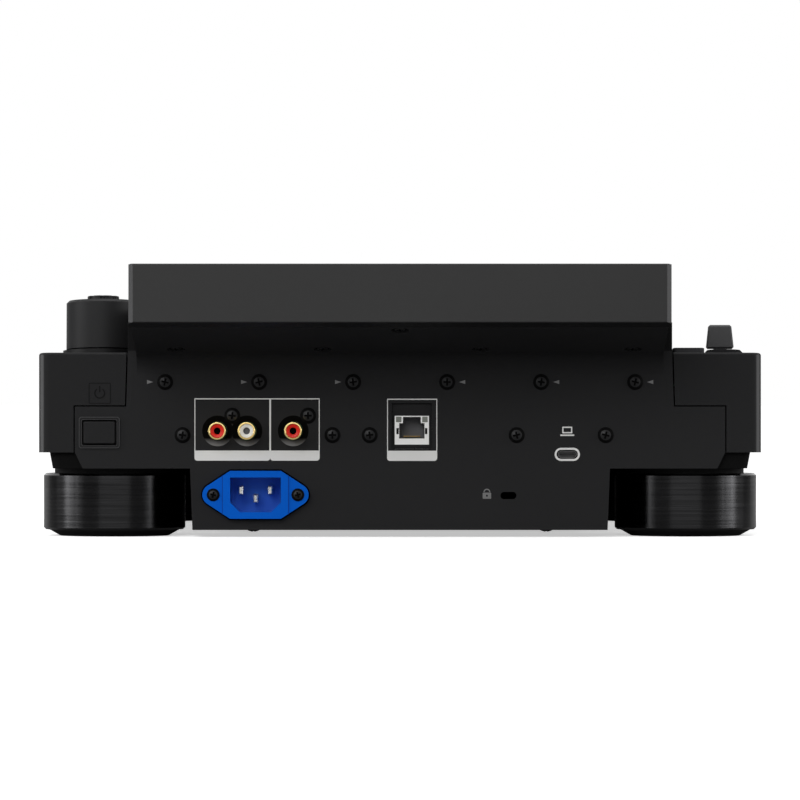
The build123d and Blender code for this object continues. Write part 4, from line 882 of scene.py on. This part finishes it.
def screw_arrows():
    """Small printed arrows that point at the upper row of screws."""
    screws = [points for points in islands("case_screws") if screw_axis(points).y == 1]
    height = max(points[0].z for points in screws)
    groups = []
    for centre in map(middle_of, screws):
        if abs(centre.z - height) > arrow_row_height * MM:
            continue
        side = 1 if centre.x > 0 else -1
        place = on_rear(centre.x + side * arrow_from_screw * MM, centre.z)
        groups.append((place, [triangle(side * arrow_length, arrow_height)]))
    printed("screw_arrows", groups, print_grey)


def laptop_symbol():
    """A laptop: the outline of its screen over its base."""
    width, height = laptop_size
    screen_width, screen_height, middle, line = width * 0.72, height * 0.72, height * 0.14, 0.6
    loops = [
        rounded(screen_width, screen_height, 0.3, 0, middle),
        rounded(screen_width - 2 * line, screen_height - 2 * line, 0.1, 0, middle),
        rounded(width, height * 0.16, 0.2, 0, -height * 0.42),
    ]
    printed("laptop_symbol", [(rear_spot(laptop_place), loops)])


def padlock_symbol():
    """A padlock: its body with a keyhole, and its shackle."""
    width, height = padlock_size
    body_height = height * 0.58
    middle = (body_height - height) / 2
    body = [rounded(width, body_height, 0.3, 0, middle), circle(0.5, 0, middle)]
    arc = arc_band(width * 0.27, width * 0.40, 0, 180)
    shackle = [(x, y + body_height - height / 2 + 0.25) for x, y in arc]
    place = rear_spot(padlock_place)
    printed("padlock_symbol", [(place, body), (place, [shackle])], print_grey)


def computer_socket_ring():
    """White printed ring round the computer socket."""
    centre = box_middle("usb_c_port")
    loops = [pill(*usb_ring_outer), pill(*usb_ring_inner)]
    printed("computer_socket_ring", [(on_rear(centre.x, centre.z), loops)])


def power_symbol():
    """Faint raised power symbol above the power button, in a thin frame."""
    radius, line = power_mark_radius, 0.6
    width, height = 4 * radius, 3.8 * radius
    ring = arc_band(radius - line, radius, 125, 415)
    bar = rounded(line, radius * 1.1, 0.1, 0, radius * 0.75)
    border = [rounded(width, height, 0.6), rounded(width - 0.7, height - 0.7, 0.4)]
    groups = [(rear_spot(power_mark_place), loops) for loops in ([ring], [bar], border)]
    plates("power_symbol_relief", groups, relief_height, power_mark)


def power_frame_highlight():
    """A painted highlight along the edge of the raised frame round the power button."""
    centre = box_middle("power_button")
    width, height = power_frame
    loops = [rounded(width - step, height - step, corner) for step, corner in power_frame_lines]
    place = on_rear(centre.x, centre.z, power_frame_height * MM)
    plates("power_frame_highlight", [(place, loops)], 0.03, frame_highlight_grey)


# ---- Sockets ----

def computer_socket_insert():
    """Black bezel, liner and tongue of the computer socket."""
    low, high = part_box("usb_c_port")
    centre = (low + high) / 2
    shell, inner, bore = (
        ((high.x - low.x) / MM - 2 * wall, (high.z - low.z) / MM - 2 * wall)
        for wall in (0, usb_shell_wall, usb_shell_wall + usb_liner_wall))
    bezel = [pill(*usb_ring_inner), pill(*shell)]
    plates("computer_socket_bezel", [(on_rear(centre.x, centre.z), bezel)], print_thickness / 2, black_plastic_and_shade)
    back = high.y - rear_y - (0.05 + usb_depth) * MM
    liner = [(on_rear(centre.x, centre.z, back), [pill(*inner), pill(*bore)])]
    plates("computer_socket_liner", liner, usb_depth, black_plastic_and_shade)
    tongue = [(on_rear(centre.x, centre.z, back - 0.3 * MM), [rounded(*usb_tongue)])]
    plates("computer_socket_tongue", tongue, usb_depth, socket_grey)


def phono_places(node):
    """The places of the phono jacks that a CAD node holds."""
    return [on_rear(middle.x, middle.z) for middle in map(middle_of, islands(node))]


def phono_sleeves():
    """Plated sleeves with a rounded mouth."""
    outer, inner, root, reach, edge = sleeve_radius, sleeve_bore, sleeve_root, sleeve_reach, sleeve_edge
    profile = [(inner, root), (outer, root), (outer, reach - edge)]
    for step in range(1, 7):
        angle = pi / 2 * step / 6
        profile.append((outer - edge * (1 - cos(angle)), reach - edge + edge * sin(angle)))
    profile += [(inner + edge, reach), (inner, reach - edge), (inner, root)]
    mesh = turned_mesh(profile)
    piece = copies("phono_sleeves", mesh, phono_places("rca_sleeves"), finishes["gold"])
    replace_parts(smooth(piece), "rca_sleeves")


def phono_inserts():
    """Coloured insulators, dished a little towards the pin's hole, and what shows in that hole."""
    outer, hole, root, top = insert_radius, insert_hole, sleeve_root, insert_top
    mesh = turned_mesh([
        (0, root), (outer, root), (outer, top - 0.15), (outer - 0.15, top), (hole + 0.5, top - 0.1),
        (hole, top - 0.45), (hole, 0.0), (0, 0.0)])
    for node, slot in (("rca_red_inserts", "red"), ("rca_white_insert", "white")):
        piece = copies("phono_" + slot + "_insert", mesh, phono_places(node), finishes[slot])
        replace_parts(smooth(piece), node)
    rim = hole * 0.97
    for name, node, end, material in (
            ("phono_red_hole_floors", "rca_red_inserts", 0.3, black_plastic_and_shade),
            ("phono_white_contact", "rca_white_insert", 5.6, phono_contact)):
        plug = turned_mesh([(0, 0.05), (rim, 0.05), (rim, end), (0, end)])
        copies(name, plug, phono_places(node), material)


def phono_bowls():
    """Bowls round the phono jacks: light grey below as a painted highlight, near black above as painted
    shade.
    """
    steps = 8
    profile = []
    for step in range(steps + 1):
        share = step / steps
        radius = bowl_inner + (bowl_outer - bowl_inner) * share
        profile.append((radius, -bowl_depth * (1 - share) * (1 - 0.45 * share)))
    profile += [(bowl_outer, -bowl_depth - 0.2), (bowl_inner, -bowl_depth - 0.2), profile[0]]
    places = phono_places("rca_red_inserts") + phono_places("rca_white_insert")
    smooth(copies("phono_bowls", turned_mesh(profile), places, bowl_lit_and_shaded))


def network_socket_details():
    """Liner, contacts, lamp windows and spring openings of the network socket."""
    low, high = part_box("ethernet_jack")
    x = (low.x + high.x) / 2
    front = high.y - rear_y
    middle = (mouth_bottom + latch_top) / 2

    def mouth(shrink):
        half, latch = mouth_width / 2 - shrink, latch_width / 2 - shrink
        side = [(half, mouth_bottom + shrink), (half, mouth_top - shrink), (latch, mouth_top - shrink),
                (latch, latch_top - shrink)]
        return [(a, z - middle) for a, z in side + [(-a, z) for a, z in reversed(side)]]

    def both_sides(offset, z, loop):
        return [(on_rear(x + side * offset * MM, z, front), [loop]) for side in (-1, 1)]

    def in_mouth(depth):
        return on_rear(x, middle * MM, front - depth * MM)

    lamps = both_sides(6.2, high.z - 1.7 * MM, rounded(2.6, 2.6, 0.2))
    plates("network_lamp_windows", lamps, 0.12, lamp_window)
    liner = [(in_mouth(mouth_depth), [mouth(0.02), mouth(0.3)])]
    plates("network_liner", liner, mouth_depth - 0.1, black_plastic_and_shade)
    plates("network_liner_floor", [(in_mouth(mouth_floor_depth), [mouth(0.4)])], 0.4, lit_socket_floor)
    jack_width, jack_top = (high.x - low.x) / MM, high.z / MM
    pocket = [
        rounded(pocket_width, pocket_top - pocket_bottom, 0.4, 0, (pocket_top + pocket_bottom) / 2 - middle),
        rounded(jack_width + 0.1, jack_top - jack_bottom, 0.1, 0, (jack_top + jack_bottom) / 2 - middle)]
    place = on_rear(x, middle * MM, -2.3 * MM)
    plates("network_pocket_plate", [(place, pocket)], 0.5, finishes["panel"])
    slots = both_sides(mouth_width / 2 + 0.75, 50.1 * MM, rounded(1.1, 2.9, 0.2))
    plates("network_spring_openings", slots, 0.06, black_plastic_and_shade)
    contacts = []
    for i in range(8):
        place = on_rear(x + (i - 3.5) * 1.02 * MM, (mouth_bottom + 1.0) * MM, front - 7.6 * MM)
        contacts.append((place, [rounded(0.42, 0.42, 0.1)]))
    plates("network_contacts", contacts, 2.6, contact_gold)


def inlet_lines():
    """A black outline round the mains inlet's flange as a painted shadow in its gap, and the two seams across
    it.
    """
    flange = [p for p in points_of("ac_inlet") if p.y > rear_y]
    middle = box_middle("ac_inlet")
    spots = {(round((middle.x - p.x) / MM, 2), round((p.z - middle.z) / MM, 2)) for p in flange}
    flat = [Vector(spot) for spot in sorted(spots)]
    hull = [flat[i] for i in geometry.convex_hull_2d(flat)]
    loops = [grown(hull, step) for step in (inlet_gap_shade, -1.0)]
    # Painted shadow round the flange.
    plates("inlet_gap_shade", [(on_rear(middle.x, middle.z), loops)], print_thickness, gap_shade_black)
    top = max(p.y for p in flange) - rear_y
    seam = [rounded(inlet_seam_width, inlet_seam_height, 0.05)]
    places = [on_rear(middle.x + side * inlet_seam_offset * MM, middle.z, top) for side in (-1, 1)]
    plates("inlet_seams", [(place, seam) for place in places], 0.02, inlet_line)


def panel_end_shades():
    """Black strips on the ends of the panel beside the screen's block, as painted shade where the gap under
    the cover is dark.
    """
    groups = []
    for side in (-1, 1):
        ear = [p for p in points_of("rear_panel")
               if side * p.x > end_strip_inner * MM and p.z > end_strip_bottom * MM]
        back = max(p.y for p in ear) - rear_y
        width = max(side * p.x for p in ear) / MM - end_strip_inner - 0.2
        height = max(p.z for p in ear) / MM - end_strip_bottom
        x = side * (end_strip_inner + 0.1 + width / 2) * MM
        z = (end_strip_bottom + height / 2) * MM
        groups.append((on_rear(x, z, back), [rounded(width, height - 0.2, 0.1)]))
    plates("panel_end_shade_strips", groups, 0.05, black_plastic_and_shade)


def foot_seats():
    """Rubber seats between the case and the top of each foot."""
    low, high = case_shoulder
    inner, outer = foot_seat_inner, foot_seat_outer
    seat = turned_mesh([(inner, low), (outer, low), (outer, high), (inner, high), (inner, low)])
    centres = map(middle_of, islands("feet"))
    places = [Matrix.Translation((centre.x, centre.y, 0)) for centre in centres]
    smooth(copies("foot_seats", seat, places, finishes["pad"]))


# ---- Deck ----

def play_and_cue_rings():
    """Translucent rings round the two big keys, and the play and pause symbol."""
    for node, material in (("play_button", green_ring), ("cue_button", amber_ring)):
        low, high = deck_box(node)
        radius = (high.x - low.x) / 2 / MM
        loops = [circle(radius - offset) for offset in ring_offsets]
        plates(node + "_ring", [(on_top(node), loops)], 0.1, material, node)
    symbol = [triangle(4.6, 5.2, -2.6, 0)] + [rounded(1.2, 5.2, 0.1, x, 0) for x in (1.9, 4.1)]
    place = on_top("play_button", -key_well * MM)
    plates("play_pause_symbol", [(place, [loop]) for loop in symbol], 0.1, print_white, "play_button")


def arrow_symbols():
    """Arrow symbols on the search and track keys."""
    for kind, has_bar in (("search", False), ("track", True)):
        for name, way in (("back", -1), ("forward", 1)):
            node = f"{kind}_{name}_button"
            if has_bar:
                loops = [triangle(way * 2.6, symbol_height, -way * 0.4, 0),
                         rounded(0.6, symbol_height, 0.1, way * 1.5, 0)]
            else:
                loops = [triangle(way * 2.4, symbol_height, way * shift, 0) for shift in (-1.3, 1.3)]
            printed(node + "_symbol", [(on_top(node), [loop]) for loop in loops], body=node)


def key_group_outlines():
    """Thin printed outlines round the groups of keys."""
    key_groups = (
        ("search_back", "search_forward", "track_back", "track_forward"),
        ("loop_in", "loop_out", "loop_exit"),
        ("beat_sync", "master", "master_tempo", "tempo_range"),
    )
    key_groups = [[name + "_button" for name in names] for names in key_groups]
    key_groups.append([f"hot_cue_button_{i}" for i in range(1, 9)])
    groups = []
    for nodes in key_groups:
        boxes = [deck_box(node) for node in nodes]
        low = [min(box[0][i] for box in boxes) / MM - group_margin for i in (0, 1)]
        high = [max(box[1][i] for box in boxes) / MM + group_margin for i in (0, 1)]
        place = on_deck((low[0] + high[0]) / 2 * MM, (low[1] + high[1]) / 2 * MM)
        groups.append((place, frame_loops(high[0] - low[0], high[1] - low[1], 2.5, thin_line)))
    printed("key_group_outlines", groups, print_dark)


def pad_windows():
    """A small lamp window behind each hot cue button."""
    groups = []
    for i in range(1, 9):
        low, high = deck_box(f"hot_cue_button_{i}")
        place = on_deck((low.x + high.x) / 2, high.y + 1.9 * MM)
        groups.append((place, [rounded(*pad_window_size)]))
    printed("pad_lamp_windows", groups, pad_window)


def tempo_scale():
    """Ticks beside the tempo slider, its signs, its middle lamp and the line on its cap."""
    low, high = deck_box("tempo_slider")
    x, y = (low.x + high.x) / 2, (low.y + high.y) / 2
    travel = joint_of("tempo_slide")["range_m"][1]
    long_tick, short_tick = tempo_tick_lengths
    groups = []
    for i in range(tempo_ticks + 1):
        length = long_tick if i % (tempo_ticks // 2) == 0 else short_tick
        spot = y - travel + 2 * travel * i / tempo_ticks
        for side in (-1, 1):
            place = on_deck(x + side * (tempo_tick_start + length / 2) * MM, spot)
            groups.append((place, [rounded(length, tick_width, 0.05)]))
    sign_x, sign_gap = tempo_sign_place
    minus, plus = (on_deck(x - sign_x * MM, y + way * (travel + sign_gap * MM)) for way in (1, -1))
    cross = [(0.2, 1.2), (-0.2, 1.2), (-0.2, 0.2), (-1.2, 0.2), (-1.2, -0.2), (-0.2, -0.2), (-0.2, -1.2),
             (0.2, -1.2), (0.2, -0.2), (1.2, -0.2), (1.2, 0.2), (0.2, 0.2)]
    groups += [(minus, [rounded(2.4, 0.4, 0.05)]), (plus, [cross])]
    printed("tempo_ticks", groups)
    lamp_place = on_deck(x + tempo_lamp_offset * MM, y)
    plates("tempo_middle_lamp", [(lamp_place, [circle(0.9, steps=24)])], 0.25, green_ring, bevel=0.08)
    line = [(on_top("tempo_slider"), [rounded(17.0, 0.7, 0.1)])]
    printed("tempo_cap_line", line, body="tempo_slider")


def jog_feel_scale():
    """Ticks round the jog feel knob and the pointer on its top."""
    low, high = deck_box("jog_feel_knob")
    place = on_deck((low.x + high.x) / 2, (low.y + high.y) / 2)
    start, end = joint_of("jog_feel_turn")["range_deg"]
    long_tick, short_tick = feel_tick_lengths
    groups = []
    for i in range(feel_ticks + 1):
        length = long_tick if i % (feel_ticks // 2) == 0 else short_tick
        tick = rounded(tick_width, length, 0.05, 0, feel_tick_start + length / 2)
        groups.append((place, [swung(tick, start + (end - start) * i / feel_ticks)]))
    printed("jog_feel_ticks", groups)
    pointer = [(on_top("jog_feel_knob"), [rounded(0.8, 4.4, 0.2, 0, 4.0)])]
    printed("jog_feel_pointer", pointer, body="jog_feel_knob")


def lever_signs():
    """Small arrows in front of the direction lever and behind it."""
    low, high = deck_box("lever_switch")
    x, gap = (low.x + high.x) / 2, lever_sign_gap * MM
    arrow = triangle(1.8, 2.6)
    printed("lever_signs", [(on_deck(x, high.y + gap), [swung(arrow, 90)]),
                            (on_deck(x, low.y - gap), [swung(arrow, -90)])])


def jog_rings():
    """Printed rings on the wheel's touch plate, marks on its display and the light ring round it."""
    low, high = deck_box("jog_top_ring")
    outer = (high.x - low.x) / 2 / MM
    place = on_deck(0, 0, high.z)
    groups = [(place, ring_band(radius + 0.25, 0.5, 160)) for radius in (outer - 3.0, 41.5)]
    printed("jog_printed_rings", groups, print_dark, "jog")
    place = on_deck(0, 0, deck_box("jog_display")[1].z)
    mark = rounded(0.5, 2.2, 0.1, 0, 28.2)
    marks = [(place, ring_band(31.0, 0.6, 128))] + [(place, [swung(mark, 90 * i)]) for i in range(4)]
    printed("jog_display_marks", marks, display_mark)
    low, high = deck_box("jog_base")
    edge = (high.x - low.x) / 2 / MM
    lift = max(p.z for p in deck_points("jog_base") if p.xy.length > (edge - 2.5) * MM)
    printed("jog_light_ring", [(on_deck(0, 0, lift), ring_band(edge - 1.2, 0.9, 192))], pad_window)


def screen_details():
    """The dark active area on the screen's glass."""
    glass = points_of("display_glass")
    rear = max(glass, key=lambda p: (round(p.z, 5), -p.x))
    ahead = min(glass, key=lambda p: (round(p.y, 5), -p.z))
    slope = Vector((0, rear.y - ahead.y, rear.z - ahead.z)).normalized()
    normal = Vector((0, -slope.z, slope.y))
    middle = Vector((0, (rear.y + ahead.y) / 2, (rear.z + ahead.z) / 2))
    lift = max((p - middle).dot(normal) for p in glass)
    place = axes_matrix(middle + normal * lift, (1, 0, 0), normal)
    low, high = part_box("display_panel")
    side_border, end_border = screen_border
    width = (high.x - low.x) / MM - side_border
    length = (rear - ahead).length / MM - end_border
    area = [rounded(width, length, 0.6, 0, 2.0)]
    plates("screen_active_area", [(place, area)], print_thickness / 2, screen_off)


# ---- Studio ----

def camera():
    data = bpy.data.cameras.new("camera")
    data.lens = camera_lens
    data.sensor_width = 36
    data.clip_end = 200
    holder = bpy.data.objects.new("camera", data)
    holder.location = (0, rear_y + camera_distance, camera_height)
    holder.rotation_euler = (radians(90), 0, radians(180))
    bpy.context.scene.collection.objects.link(holder)
    bpy.context.scene.camera = holder


def floor():
    """Pale floor: full white to the eye, a duller grey as a bounce of light."""
    builder = bmesh.new()
    bmesh.ops.create_grid(builder, x_segments=2, y_segments=2, size=floor_size / 2)
    piece = mesh_object("floor", builder)
    material, tree, shader = principled("pale_floor", {
        "Roughness": 0.9, "Specular IOR Level": 0.0, "Emission Color": (1, 1, 1, 1)})
    seen = add(tree, "LightPath").outputs["Is Camera Ray"]
    fill(tree, shader, {
        "Base Color": mixed(tree, seen, floor_bounce, floor_white),
        "Emission Strength": reckoned(tree, "MULTIPLY", seen, floor_glow),
    })
    piece.data.materials.append(material)
    bpy.context.scene.collection.objects.link(piece)


def world(strength):
    """White behind the object and in its gloss, and a plain soft light on it."""
    background = bpy.data.worlds.new("studio")
    bpy.context.scene.world = background
    background.use_nodes = True
    tree = background.node_tree
    tree.nodes.clear()
    soft, bright = (
        add(tree, "Background", {"Color": (1, 1, 1, 1), "Strength": power}).outputs["Background"]
        for power in (strength, 1.0))
    rays = add(tree, "LightPath").outputs
    seen = reckoned(tree, "MAXIMUM", rays["Is Camera Ray"], rays["Is Glossy Ray"])
    through = reckoned(tree, "MAXIMUM", seen, rays["Is Transmission Ray"])
    blend = add(tree, "MixShader", {"Fac": through, 1: soft, 2: bright})
    add(tree, "OutputWorld", {"Surface": blend.outputs["Shader"]})


def lamp(name, place, width, height, power, gloss_only=False):
    """A rectangular lamp that looks at the object."""
    data = bpy.data.lights.new(name, "AREA")
    data.shape = "RECTANGLE"
    data.size = width
    data.size_y = height
    data.energy = power
    holder = bpy.data.objects.new(name, data)
    holder.location = place
    holder.rotation_mode = "QUATERNION"
    holder.rotation_quaternion = (Vector(lamp_target) - Vector(place)).to_track_quat("-Z", "Y")
    holder.visible_diffuse = not gloss_only
    bpy.context.scene.collection.objects.link(holder)


def black_cards():
    """Tall curved cards round the rear and the sides, seen only in reflections."""
    inputs = {"Base Color": card_black, "Roughness": 1.0, "Specular IOR Level": 0.0}
    material = principled("black_card", inputs)[0]
    steps = 8
    for side, (start, end) in ((side, spread) for side in (-1, 1) for spread in card_spreads):
        builder = bmesh.new()
        rows = []
        for step in range(steps + 1):
            angle = radians(start + (end - start) * step / steps) * side
            x, y = card_radius * sin(angle), card_radius * cos(angle)
            rows.append([builder.verts.new((x, y, z)) for z in (0.0, card_height)])
        for (a, b), (c, d) in zip(rows, rows[1:]):
            builder.faces.new((a, c, d, b))
        card = mesh_object("black_card", builder)
        card.data.materials.append(material)
        card.visible_camera = False
        card.visible_diffuse = False
        card.visible_shadow = False
        bpy.context.scene.collection.objects.link(card)


def studio():
    """The floor, the light on everything, the lamps and the cards."""
    bpy.context.scene.view_settings.view_transform = "Standard"
    floor()
    world(world_strength)
    for row in lamps:
        lamp(*row)
    for name, side in (("left", 1), ("right", -1)):
        for kind, (x, y, z), width, power in strips:
            lamp(f"{name}_{kind}", (side * x, y, z), width, strip_height, power, gloss_only=True)
    black_cards()


camera()
dress_frame()
case_screw_heads()
connector_prints()
screw_arrows()
laptop_symbol()
padlock_symbol()
computer_socket_ring()
computer_socket_insert()
phono_sleeves()
phono_inserts()
phono_bowls()
power_symbol()
power_frame_highlight()
network_socket_details()
inlet_lines()
panel_end_shades()
foot_seats()
play_and_cue_rings()
arrow_symbols()
key_group_outlines()
pad_windows()
tempo_scale()
jog_feel_scale()
lever_signs()
jog_rings()
screen_details()
studio()
